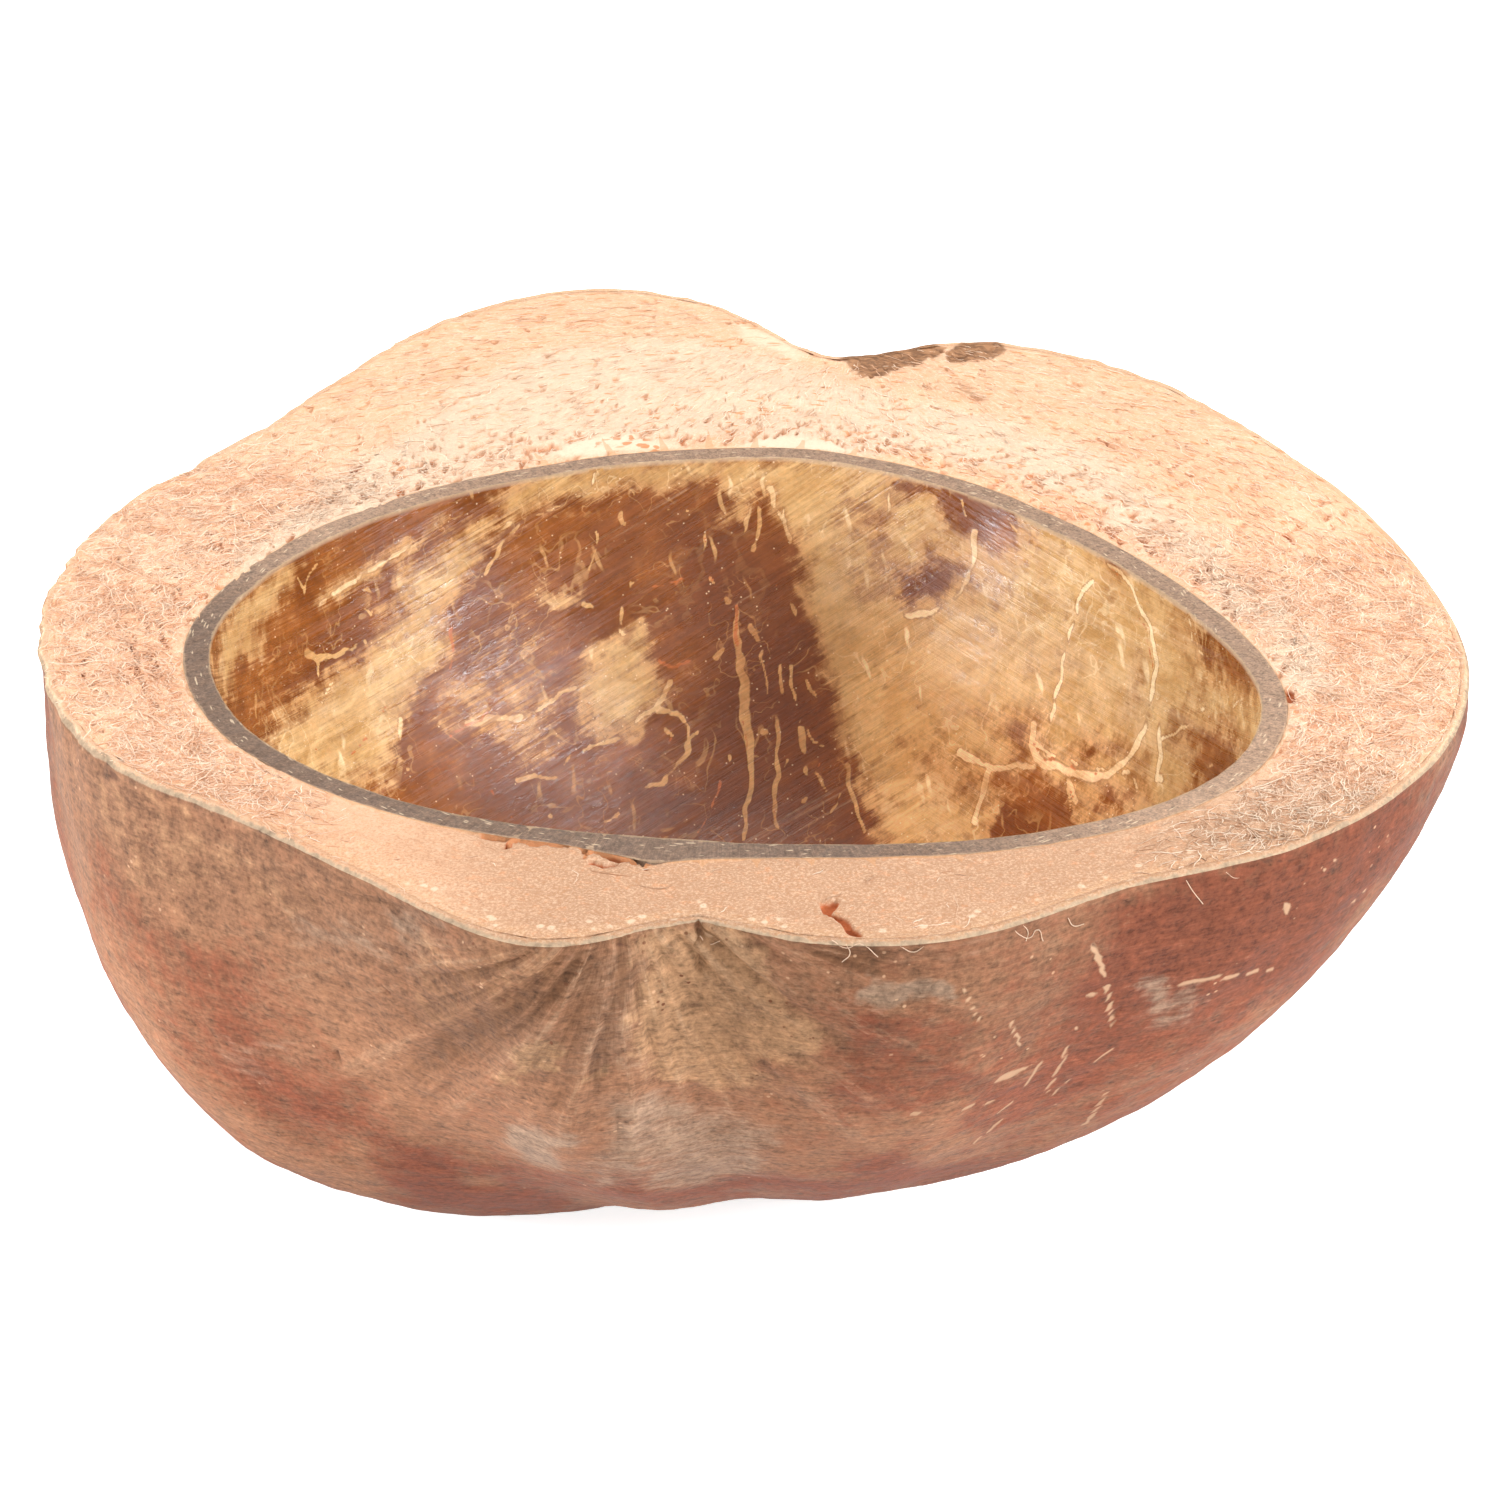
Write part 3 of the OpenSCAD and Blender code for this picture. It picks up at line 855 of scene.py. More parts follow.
def shape_husk():
    points = corners_of(husk)
    level = at_cut(points)
    flat = points[:, :2]
    outer_gap, inner_gap = rim_gap(flat) / MM, ring_gap(flat) / MM
    zones = husk_zones(points)
    cracks = near_strokes(flat, flat_strokes(HUSK_CRACKS), 0.6)
    gape = front_gape(points, inner_gap)
    front = smoothly(-points[:, 1], 45 * MM, 72 * MM)
    # pits open up along the fibres, most of them near the shell at the sides and back
    grain = fibre_grain(flat, fibre_way(flat))
    pit_zone = np.exp(-((inner_gap - 5) / 6.5) ** 2) * smoothly(flat[:, 1], -45 * MM, -5 * MM) + 0.22
    pits = smoothly(grain * 0.7 + rough(points, 1.5 * MM, 2, 11.0) * 0.7 + pit_zone * 0.38, 0.58, 0.92)
    pits *= (1 - zones["lens"]) * (1 - front)
    lumps = rough(points, 11 * MM, 2, 5.0) * 0.30 + rough(points, 3.2 * MM, 2, 3.0) * 0.12
    fuzz = (grain * 0.07 + rough(points, 0.9 * MM, 2, 8.0) * 0.08) * (1 - 0.8 * front)
    height = (lumps + fuzz) * (1 - 0.8 * zones["lens"]) - pits * 0.8 - cracks * 0.9 - gape * 1.6
    height += zones["torn"] * (rough(points, 2.2 * MM, 3, 4.0) - 0.1) * 0.7
    height -= 0.5 * np.exp(-inner_gap / 0.5) * (0.5 + 0.8 * rough(points, 2.5 * MM, 2, 6.0))
    height = np.clip(height, -3.2, 0.7) * MM * smoothly(outer_gap, 0, 1.5) * smoothly(inner_gap, 0, 0.4)
    moved = points.copy()
    moved[:, 2] += np.where(level, height + cut_wobble(points), 0)
    moved = frayed(moved)
    moved[:, 2] = np.minimum(moved[:, 2], CUT)
    move_corners(husk, moved)
    keep_values(husk, pits=np.where(level, pits, 0), crack=np.maximum(cracks, gape),
                outer_gap=outer_gap, inner_gap=inner_gap, **zones)


split_husk()
shape_husk()


# Hard shell

def seen_wall():
    """Faces of the hollow that the camera sees."""
    middles, normals = face_middles(shell)
    inward = reach_along(normals, middles - BOWL_MIDDLE) < 0
    towards = reach_along(normals, EYE - middles) > 0
    return inward & towards & (in_photo(middles)[:, 1] < NEAR_RIM_ROW)


def split_shell():
    """The wall that faces the camera is split finest, more so along the veins."""
    middles, normals = face_middles(shell)
    split_faces(shell, (reach_along(normals, middles - BOWL_MIDDLE) < 0) | at_cut(middles), 2)
    split_faces(shell, seen_wall() | sawn_faces(shell), 2)
    pull_onto(shell, shell_guide)
    middles = face_middles(shell)[0]
    wall = np.flatnonzero(seen_wall() & (middles[:, 2] > 8 * MM))
    wider = [(corners, a + 0.5 * MM, b + 0.5 * MM) for corners, a, b in veins + rusts]
    by_vein = np.zeros(len(middles), dtype=bool)
    by_vein[wall] = near_strokes(middles[wall], wider, 0.5) > 0
    split_faces(shell, by_vein, 1)
    pull_onto(shell, shell_guide)


def shape_shell():
    points = corners_of(shell)
    facing = corner_normals(shell)
    pixels = in_photo(points)
    flat = points[:, :2]
    level = at_cut(points)
    inner = reach_along(facing, points - BOWL_MIDDLE) < 0
    shake = np.stack([rough(points, 7 * MM, 3, shift) for shift in (0.0, 5.0, 9.0)], axis=1)
    wandered = pixels + shake[:, :2] * 13
    seen = smoothly(reach_along(facing, EYE - points), 0.04, 0.2) * inner
    seen *= 1 - smoothly(pixels[:, 1], NEAR_RIM_ROW - 30, NEAR_RIM_ROW + 20)
    # where the camera doesn't see, patches of the same kind go on
    unseen_cream = np.clip(0.5 + 1.5 * rough(points, 34 * MM, 4, 3.0), 0, 1)
    unseen_dark = np.clip(0.3 + rough(points, 20 * MM, 2, 1.0), 0, 1) * 0.6
    cream = patched(wandered, CREAM_PATCHES, BROWN_PATCHES) * seen + unseen_cream * (1 - seen)
    dark = deepest(wandered, DARK_PATCHES) * seen + unseen_dark * (1 - seen)
    moved = points + facing * (rough(points, 16 * MM, 2, 2.0) * 0.10 * MM * inner)[:, None]
    moved[:, 2] = np.where(level, points[:, 2], moved[:, 2])
    moved[:, 2] += cut_wobble(points) * smoothly(points[:, 2], CUT - 6 * MM, CUT)
    move_corners(shell, moved)
    near = points + shake * 0.9 * MM
    past_mouth = -gap_to(shell_mouth, SHELL_AXIS, flat)
    share = past_mouth / (past_mouth + gap_to(shell_rim, SHELL_AXIS, flat))
    keep_values(shell, cream=cream, dark=dark, seen=seen, ring=level,
                vein=near_strokes(near, veins, 0.9) * inner, rust=near_strokes(near, rusts, 0.9) * inner,
                ring_share=np.where(level, np.clip(share, 0, 1), -1),
                crack=near_strokes(flat, flat_strokes([RING_CRACK]), 0.6) * level)


split_shell()
shape_shell()


# Materials

class Wire:
    """A number, colour or vector on its way through a finish, for plain sums."""

    def __init__(self, finish, socket):
        self.finish = finish
        self.socket = socket

    def maths(self, how, first, second=None, clamp=False):
        values = {0: first} if second is None else {0: first, 1: second}
        return self.finish.node("Math", {"operation": how, "use_clamp": clamp}, values)

    def __add__(self, other):
        return self.maths("ADD", self, other)

    def __sub__(self, other):
        return self.maths("SUBTRACT", self, other)

    def __rsub__(self, other):
        return self.maths("SUBTRACT", other, self)

    def __mul__(self, other):
        return self.maths("MULTIPLY", self, other)

    def __abs__(self):
        return self.maths("ABSOLUTE", self)

    __radd__ = __add__
    __rmul__ = __mul__

    def most(self, other):
        return self.maths("MAXIMUM", self, other)

    def held(self):
        """Kept from 0 to 1."""
        return self.maths("ADD", self, 0.0, clamp=True)

    def between(self, low, high):
        """0 at low, 1 at high, soft between."""
        return self.finish.node("MapRange", {"interpolation_type": "SMOOTHSTEP"},
                                {"Value": self, "From Min": low, "From Max": high})


class Finish:
    """The nodes of one material, or of the air round the object."""

    def __init__(self, owner):
        self.owner = owner
        owner.use_nodes = True
        self.tree = owner.node_tree
        self.tree.nodes.clear()
        self.own_place = None

    @property
    def place(self):
        """Object coordinates, from one node for the whole finish."""
        if self.own_place is None:
            self.own_place = self.node("TexCoord", output="Object")
        return self.own_place

    def node(self, kind, settings=None, values=None, output=0):
        node = self.tree.nodes.new("ShaderNode" + kind)
        for name, setting in (settings or {}).items():
            setattr(node, name, setting)
        for name, value in (values or {}).items():
            if isinstance(value, Wire):
                self.tree.links.new(value.socket, node.inputs[name])
            else:
                node.inputs[name].default_value = value
        return Wire(self, node.outputs[output]) if node.outputs else None

    def values(self, *names):
        """Numbers that the mesh keeps under these names."""
        return [self.node("Attribute", {"attribute_name": name}, output="Fac") for name in names]

    def mix(self, share, first, second):
        """Two colours mixed, each a wire or a tone as it looks on screen."""
        first, second = (tone(*c) if isinstance(c, tuple) else c for c in (first, second))
        return self.node("Mix", {"data_type": "RGBA"}, {0: share, 6: first, 7: second}, output=2)

    def painted(self, colour, *coats):
        """A colour under thin coats, each given as its cover and its tone."""
        for cover, coat in coats:
            colour = self.mix(cover, colour, coat)
        return colour

    def shaded(self, colour, amount):
        """A colour made darker below 1 or lighter above it."""
        return self.node("VectorMath", {"operation": "SCALE"}, {0: colour, "Scale": amount})

    def vector(self, how, first, second, output=0):
        return self.node("VectorMath", {"operation": how}, {0: first, 1: second}, output=output)

    def along(self, axis):
        """Place along X, Y or Z."""
        return self.node("SeparateXYZ", values={0: self.place}, output=axis)

    def towards(self, way):
        """How far a place lies in some direction."""
        return self.vector("DOT_PRODUCT", self.place, way, "Value")

    def shifted(self, far, place=None):
        """Place moved far away, so that a pattern there is another one."""
        return self.vector("ADD", place or self.place, (far, far, far))

    def shaken(self, scale, detail, far):
        """Place moved about unevenly, so that a pattern there gets bent outlines."""
        about = self.node("TexNoise", values={"Vector": self.place, "Scale": scale, "Detail": detail},
                          output="Color")
        return self.vector("ADD", self.place, self.vector("MULTIPLY", about, (far, far, far)))

    def stretched(self, turn, size, place=None):
        """Place turned by angles in degrees, then scaled: large numbers make a pattern fine that way."""
        turned = self.node("Mapping", {"vector_type": "POINT"},
                           {"Vector": place or self.place, "Rotation": tuple(math.radians(a) for a in turn)})
        return self.vector("MULTIPLY", turned, size)

    def noise(self, scale, detail=3.0, rough=0.5, place=None, warp=0.0):
        return self.node("TexNoise", {"noise_dimensions": "3D"},
                         {"Vector": place or self.place, "Scale": scale, "Detail": detail,
                          "Roughness": rough, "Distortion": warp})

    def cells(self, scale, place=None, feature="F1"):
        return self.node("TexVoronoi", {"feature": feature}, {"Vector": place or self.place, "Scale": scale})

    def round_axis(self, axis, tangential, radial, upright=0.0):
        """Place wrapped round an upright axis: turn, distance and height, each with its own fineness."""
        from_axis = self.vector("SUBTRACT", self.place, (axis[0], axis[1], 0))
        flat = self.vector("MULTIPLY", from_axis, (1, 1, 0))
        away = self.node("VectorMath", {"operation": "LENGTH"}, {0: flat}, output="Value")
        heading = self.node("VectorMath", {"operation": "NORMALIZE"}, {0: flat})
        turned = self.vector("MULTIPLY", heading, (tangential, tangential, 0))
        upward = self.node("CombineXYZ", values={"Z": away * radial + self.along("Z") * upright})
        return self.vector("ADD", turned, upward)

    def close(self, colour, roughness, height=None, bump=0.5, depth=0.0005, **constants):
        values = {"Base Color": colour, "Roughness": roughness}
        if height is not None:
            values["Normal"] = self.node("Bump", values={"Strength": bump, "Distance": depth,
                                                         "Height": height})
        values.update({name.replace("_", " "): value for name, value in constants.items()})
        self.node("OutputMaterial", values={"Surface": self.node("BsdfPrincipled", values=values)})
        return self.owner


def new_finish(name):
    return Finish(bpy.data.materials.new(name))


def tone(red, green, blue):
    """A colour as it looks on screen, 0 to 255, made ready for a shader."""
    plain = [c / 255 for c in (red, green, blue)]
    return tuple(c / 12.92 if c <= 0.04045 else ((c + 0.055) / 1.055) ** 2.4 for c in plain) + (1.0,)


def husk_colour(finish):
    """Colour of the sawn fibre: salmon outside, cream by the shell and at the back, browner at the front."""
    broad = finish.noise(60, 3, 0.6)
    patchy = finish.noise(190, 4, 0.6)
    back, cream = finish.values("back", "cream")
    cream = (cream + (patchy - 0.5) * 0.9).between(0.15, 0.85)
    front = finish.along("Y").between(-0.042, -0.072)
    right = finish.along("X").between(-0.050, -0.020)
    # short dashes that gather at the stem, and streaks that run round the nut
    dashes = finish.noise(1.0, 3, 0.6, finish.round_axis(STEM, 120, 420), 0.3)
    round_nut = finish.noise(1.0, 4, 0.65, finish.round_axis(SHELL_AXIS, 34, 1700), 0.3)
    grain = finish.noise(1500, 3, 0.65)
    colour = finish.painted(
        finish.mix(broad.between(0.3, 0.7), (227, 170, 132), (238, 188, 151)),
        (back * 0.7, (217, 172, 137)),
        (cream * 0.95, (221, 189, 161)),
        (front * (0.3 + right * 0.7), (183, 140, 108)),
        (dashes.between(0.46, 0.30) * back * 0.6, (224, 166, 118)),
        (dashes.between(0.55, 0.70) * back * 0.5, (242, 218, 190)),
        (round_nut.between(0.45, 0.30) * (1 - back) * 0.35, (222, 162, 120)))
    lightness = 1.0 + (grain - 0.5) * 0.24 + (patchy - 0.5) * 0.16 + (round_nut - 0.5) * 0.14
    return finish.shaded(colour, lightness)


def crossing_ridges(finish):
    """Fibres lying every way, as thin bent ridges."""
    ridges = None
    for turn, stretch, shift in FIBRE_LAYERS:
        lay = finish.shifted(shift, finish.stretched((0, 0, turn), stretch))
        strand = 1 - abs(finish.noise(1.0, 2.0, 0.5, lay, 1.0) - 0.5).between(0.0, 0.035)
        ridges = ridges.most(strand) if ridges else strand
    return ridges


def sawn_colour(finish):
    """Colour and height of the sawn fibre, which the skin's rim shares."""
    inner_gap, outer_gap, back = finish.values("inner_gap", "outer_gap", "back")
    lens, torn, crack, pits = finish.values("lens", "torn", "crack", "pits")
    front = finish.along("Y").between(-0.045, -0.080)
    by_rim = finish.towards((0.4, 1, 0)).between(0.012, 0.045)
    round_lay = finish.round_axis(SHELL_AXIS, 60, 1500)
    round_ridges = 1 - abs(finish.noise(1.0, 2.0, 0.5, round_lay, 0.6) - 0.5).between(0.0, 0.05)
    ridges = crossing_ridges(finish) * (1 - by_rim * 0.85) * (1 - front * 0.95) + round_ridges * by_rim * 0.8
    grain = finish.noise(1.0, 4, 0.65, finish.round_axis(SHELL_AXIS, 40, 1500))
    fine = finish.noise(2200, 3, 0.65)
    soft = finish.noise(700, 4, 0.65)
    sand = finish.noise(2900, 3, 0.7)
    rind = outer_gap.between(3.5, 0.4)
    dots = finish.cells(560).between(0.36, 0.18) * finish.noise(300, 1).between(0.36, 0.46)
    dots = dots * outer_gap.between(4.6, 3.0) * outer_gap.between(0.4, 1.2) * front
    small_pits = finish.cells(430, finish.shaken(500.0, 2.0, 0.0026)).between(0.33, 0.24)
    small_pits = small_pits * finish.noise(90, 2).between(0.48, 0.62)
    small_pits = small_pits * inner_gap.between(17, 5) * (1 - front)
    long_pits = finish.cells(1.0, finish.round_axis(SHELL_AXIS, 20, 900)).between(0.26, 0.16)
    long_pits = long_pits * finish.noise(170, 2).between(0.44, 0.52) * by_rim
    torn_edge = (torn + (grain - 0.5) * 1.2 * torn.between(0.02, 0.3)).between(0.3, 0.75)
    torn_tone = finish.mix(grain.between(0.4, 0.6), (112, 76, 52), (168, 120, 84))
    colour = finish.painted(
        husk_colour(finish),
        (soft.between(0.46, 0.30) * 0.45, (222, 152, 106)),
        (ridges * 0.6, (250, 216, 184)),
        (rind * grain.between(0.35, 0.65) * 0.3, (226, 178, 130)),
        (dots * 0.5, (248, 222, 192)),
        (sand.between(0.48, 0.64) * front * 0.6, (224, 186, 156)),
        (sand.between(0.50, 0.34) * front * 0.5, (176, 122, 86)),
        (lens * 0.5, (246, 222, 194)),
        (small_pits * 0.8, (204, 126, 74)),
        (long_pits * 0.75, (208, 138, 88)),
        (pits * 0.7, (206, 126, 76)),
        (torn_edge * 0.9, torn_tone),
        (crack.between(0.2, 0.8) * 0.9, (184, 96, 54)),
        # painted shade: a darker core down the middle of the cracks
        (crack.between(0.4, 0.9) * soft.between(0.54, 0.42) * 0.7, (126, 62, 34)),
        (inner_gap.between(0.40, 0.1) * 0.5, (206, 150, 104)))
    height = ridges * 0.35 + fine * (0.25 + front * 0.3) + soft * 0.5 + grain * (0.25 - back * 0.1)
    height = height - small_pits * 0.6 - long_pits * 0.5
    return colour, height * (1 - by_rim * 0.4)


def sawn_husk():
    finish = new_finish("sawn_husk")
    colour, height = sawn_colour(finish)
    return finish.close(colour, 0.86, height, 0.40, 0.0005, Specular_IOR_Level=0.12)


def fan_streaks(finish):
    """Streaks that run down from the dip at the tip, above 0 where pale and below where dark."""
    turn, away, near = finish.values("fan_turn", "fan_away", "fan_near")
    broad_lay = finish.node("CombineXYZ", values={"X": turn * 16, "Y": away * 0.07})
    fine_lay = finish.node("CombineXYZ", values={"X": turn * 60, "Y": away * 0.25, "Z": 3.0})
    broad = finish.noise(1.0, 5, 0.66, broad_lay, 0.4)
    fine = finish.noise(1.0, 4, 0.7, fine_lay, 0.3)
    return ((broad - 0.5) * 0.75 + (fine - 0.5) * 0.6) * near.between(0.05, 0.6)


def skin_finish():
    finish = new_finish("husk_skin")
    grey, dark, tan, red, seen, scratch, slit, fan, rim_inset = finish.values(
        "grey", "dark", "tan", "red", "seen", "scratch", "slit", "fan", "rim_inset")
    broad = finish.noise(38, 4, 0.6)
    broad_two = finish.noise(1.0, 4, 0.6, finish.shifted(5, finish.stretched((0, 0, 0), (55, 55, 55))))
    mottle = finish.noise(380, 6, 0.7)
    grit = finish.noise(1300, 3, 0.65)
    streaks = finish.noise(1.0, 4, 0.65, finish.round_axis(SKIN_AXIS, 14, 260, 900), 0.4)
    streaks_fine = finish.noise(1.0, 3, 0.65, finish.round_axis(SKIN_AXIS, 45, 700, 2600), 0.3)
    ray = fan_streaks(finish)
    leftmost = finish.along("X").between(-0.058, -0.080)
    red_level = red * 0.9 + (1 - seen) * 0.5 + (broad - 0.5) * 1.6 + (mottle - 0.5) * 1.6 + 0.12
    grey_level = grey + (1 - seen) * (broad_two - 0.42) * 1.2 + (streaks - 0.5) * 1.2 + (mottle - 0.5) * 1.2
    grey_level = grey_level - leftmost * 0.6
    dark_level = dark + (streaks - 0.5) * 0.6 + (mottle - 0.5) * 1.6 + 0.04
    dark_level = dark_level - fan * 0.5 - ray * 1.7 - leftmost * 0.4
    colour = finish.painted(
        finish.mix(red_level.between(0.0, 0.95), (158, 110, 80), (130, 72, 50)),
        (grey_level.between(0.15, 1.0) * 0.8, (156, 128, 105)),
        ((tan + (mottle - 0.5) * 1.8).between(0.2, 0.95) * 0.8, (182, 138, 100)),
        (dark_level.between(0.20, 1.0) * 0.8, (118, 80, 55)),
        ((ray * 2 + fan * 0.4).between(0.05, 0.6) * 0.32, (198, 162, 128)))
    lightness = 1.0 + fan * 0.10 + ray * 0.35 + (mottle - 0.5) * 1.8 + (grit - 0.5) * 1.5
    lightness = lightness + (streaks - 0.5) * 0.8 + (streaks_fine - 0.5) * 1.0
    # painted shade: the skin gets up to a quarter darker from 42 mm up to the rim
    colour = finish.shaded(colour, lightness * (1 - finish.along("Z").between(0.042, 0.070) * 0.25))
    specks = finish.cells(760).between(0.24, 0.12) * finish.noise(200, 2).between(0.50, 0.62)
    flecks = finish.cells(520, finish.shifted(1)).between(0.17, 0.08)
    flecks = flecks * finish.noise(120, 2).between(0.52, 0.68)
    scratched = (scratch + (mottle - 0.5) * 0.9 * scratch.between(0.05, 0.5)).between(0.35, 0.9)
    colour = finish.painted(
        colour,
        (specks * (0.45 + tan * 0.55).held(), (104, 60, 40)),
        (flecks * 0.65, (216, 170, 132)),
        (scratched * 0.7, (204, 164, 128)),
        # painted shade: the slits are drawn dark over their shallow grooves
        (slit.between(0.3, 0.9) * 0.75, (88, 56, 42)))
    # the pale line where the saw went through the skin, and the husk behind it, darkened as painted shade
    # like the shade loose fibres cast on the rest of the husk
    edge = (rim_inset + (mottle - 0.5) * 0.7).between(-0.35, -0.05)
    behind = (rim_inset + (mottle - 0.5) * 1.3).between(0.18, 0.46)
    sawn, sawn_height = sawn_colour(finish)
    line = finish.mix(finish.along("Y").between(0.0, -0.03), (178, 130, 94), (176, 148, 120))
    line = finish.shaded(line, 1 + (mottle - 0.5) * 1.3 + (grit - 0.5) * 1.2)
    # the husk behind the line is scaled to 0.88: painted shade
    colour = finish.mix(edge, colour, finish.mix(behind, line, finish.shaded(sawn, 0.88)))
    height = mottle * 0.5 + grit * 0.25 + streaks * 0.35 + streaks_fine * 0.2 + scratch * 0.2 - slit * 0.5
    height = height * (1 - edge) + sawn_height * edge
    gloss = (0.62 + (mottle - 0.5) * 0.35 - grey * 0.05).most(edge * 0.85)
    return finish.close(colour, gloss, height, 0.45, 0.0005, Specular_IOR_Level=0.10)


def sanding(finish, slope, fine=1700, run=38):
    """Straight scratches that climb at this slope as seen from the front."""
    rise, level = math.sin(math.radians(slope)), math.cos(math.radians(slope))
    crossing = finish.towards((-rise, UPWARDS[1] * level, UPWARDS[2] * level))
    running = finish.towards((level, UPWARDS[1] * rise, UPWARDS[2] * rise))
    lay = finish.node("CombineXYZ", values={"X": crossing * fine, "Y": running * run, "Z": crossing * 60})
    return finish.noise(1.0, 5, 0.78, lay)


def both_ways(finish, lean, **kind):
    """Sanding that leans one way on the left of the hollow and the other way on its right."""
    return finish.node("Mix", {"data_type": "FLOAT"},
                       {0: lean, 2: sanding(finish, 32, **kind), 3: sanding(finish, -34, **kind)})


def shell_ground(finish, creaminess, dark, cloudy, cloudy_fine):
    """Brown shell and the cream patches that the husk left on it."""
    wisps = finish.noise(1.0, 5, 0.65, finish.stretched((0, 30, 0), (70, 160, 240)), 1.2)
    brown = finish.painted(
        finish.mix(cloudy.between(0.38, 0.66), (124, 64, 20), (156, 89, 36)),
        ((dark + (cloudy - 0.5) * 0.9).between(0.1, 0.9) * 0.85, (98, 42, 10)))
    clouds = cloudy.between(0.5, 0.34) * 0.7 + cloudy_fine.between(0.42, 0.3) * 0.3
    pale = finish.painted(
        finish.mix(wisps.between(0.36, 0.66), (194, 146, 88), (222, 178, 120)),
        (cloudy_fine.between(0.50, 0.74) * 0.4, (188, 134, 82)),
        (clouds * 0.7, (230, 194, 148)))
    middling = finish.mix(cloudy_fine.between(0.4, 0.6), (174, 122, 72), (202, 150, 96))
    return finish.painted(
        brown,
        (creaminess.between(0.0, 0.5), middling),
        (creaminess.between(0.45, 1.0), pale))


def fine_veins(finish, seen):
    """Veins too fine to be mapped, and broader ones where the camera doesn't look."""
    branch = finish.cells(75, finish.shaken(140.0, 3.0, 0.012), "DISTANCE_TO_EDGE")
    wild = branch.between(0.035, 0.012) * finish.noise(45, 2).between(0.50, 0.62) * (1 - seen * 0.8)
    hair = abs(finish.noise(150, 2.5, 0.55, None, 0.5) - 0.5).between(0.016, 0.005)
    hair = hair * finish.noise(70, 2).between(0.49, 0.59)
    hair_two = abs(finish.noise(260, 2.0, 0.5, finish.shifted(3), 0.4) - 0.5).between(0.018, 0.006)
    hair_two = hair_two * finish.noise(110, 2).between(0.50, 0.60)
    tick_lay = finish.stretched((0, 14, 0), (560, 100, 100), finish.shaken(140.0, 3.0, 0.004))
    ticks = finish.cells(1.0, tick_lay).between(0.24, 0.12) * finish.noise(85, 2).between(0.46, 0.58)
    return (wild * 0.7).most((hair.most(hair_two) * 0.45).most(ticks * 0.85))


def ring_colour(finish, grit, cloudy_fine, marks):
    """Sawn edge of the shell: taupe, darker at the front left and at the back as painted shade, with pale
    grains and lips.
    """
    share, crack = finish.values("ring_share", "crack")
    # painted shade: the ring is darker at the front left, in place of the dark it mirrors there, and darker
    # at the back, against the strong overhead lamp
    painted_shade_front_left = finish.towards((0.6, 0.8, 0)).between(-0.02, -0.055)
    behind = finish.towards((0.4, 0.9, 0)).between(-0.02, 0.02)
    taupe = finish.painted(
        finish.mix(painted_shade_front_left, (166, 132, 106), (112, 86, 68)),
        (behind, (150, 118, 94)),
        (marks.between(0.4, 0.75) * 0.3, (178, 146, 118)),
        (marks.between(0.45, 0.2) * 0.35, (96, 74, 60)))
    taupe = finish.shaded(taupe, 1 + (grit - 0.5) * 1.7 + (finish.noise(3400, 2) - 0.5) * 1.4)
    grains = finish.cells(1.0, finish.round_axis(SHELL_AXIS, 26, 2400)).between(0.36, 0.16)
    grains = grains * finish.noise(1.0, 2, 0.5, finish.round_axis(SHELL_AXIS, 26, 900)).between(0.52, 0.58)
    inner_lip = (share + (cloudy_fine - 0.5) * 0.35).between(0.10, 0.0)
    outer_lip = (share + (cloudy_fine - 0.5) * 0.3).between(0.90, 1.0)
    return finish.painted(
        taupe,
        (grains * 0.8, (220, 192, 158)),
        (inner_lip * 0.6, (204, 168, 128)),
        (outer_lip * 0.5, (196, 160, 124)),
        # painted shade: the crack in the ring is drawn near black
        (crack.between(0.3, 0.8), (50, 36, 30)))


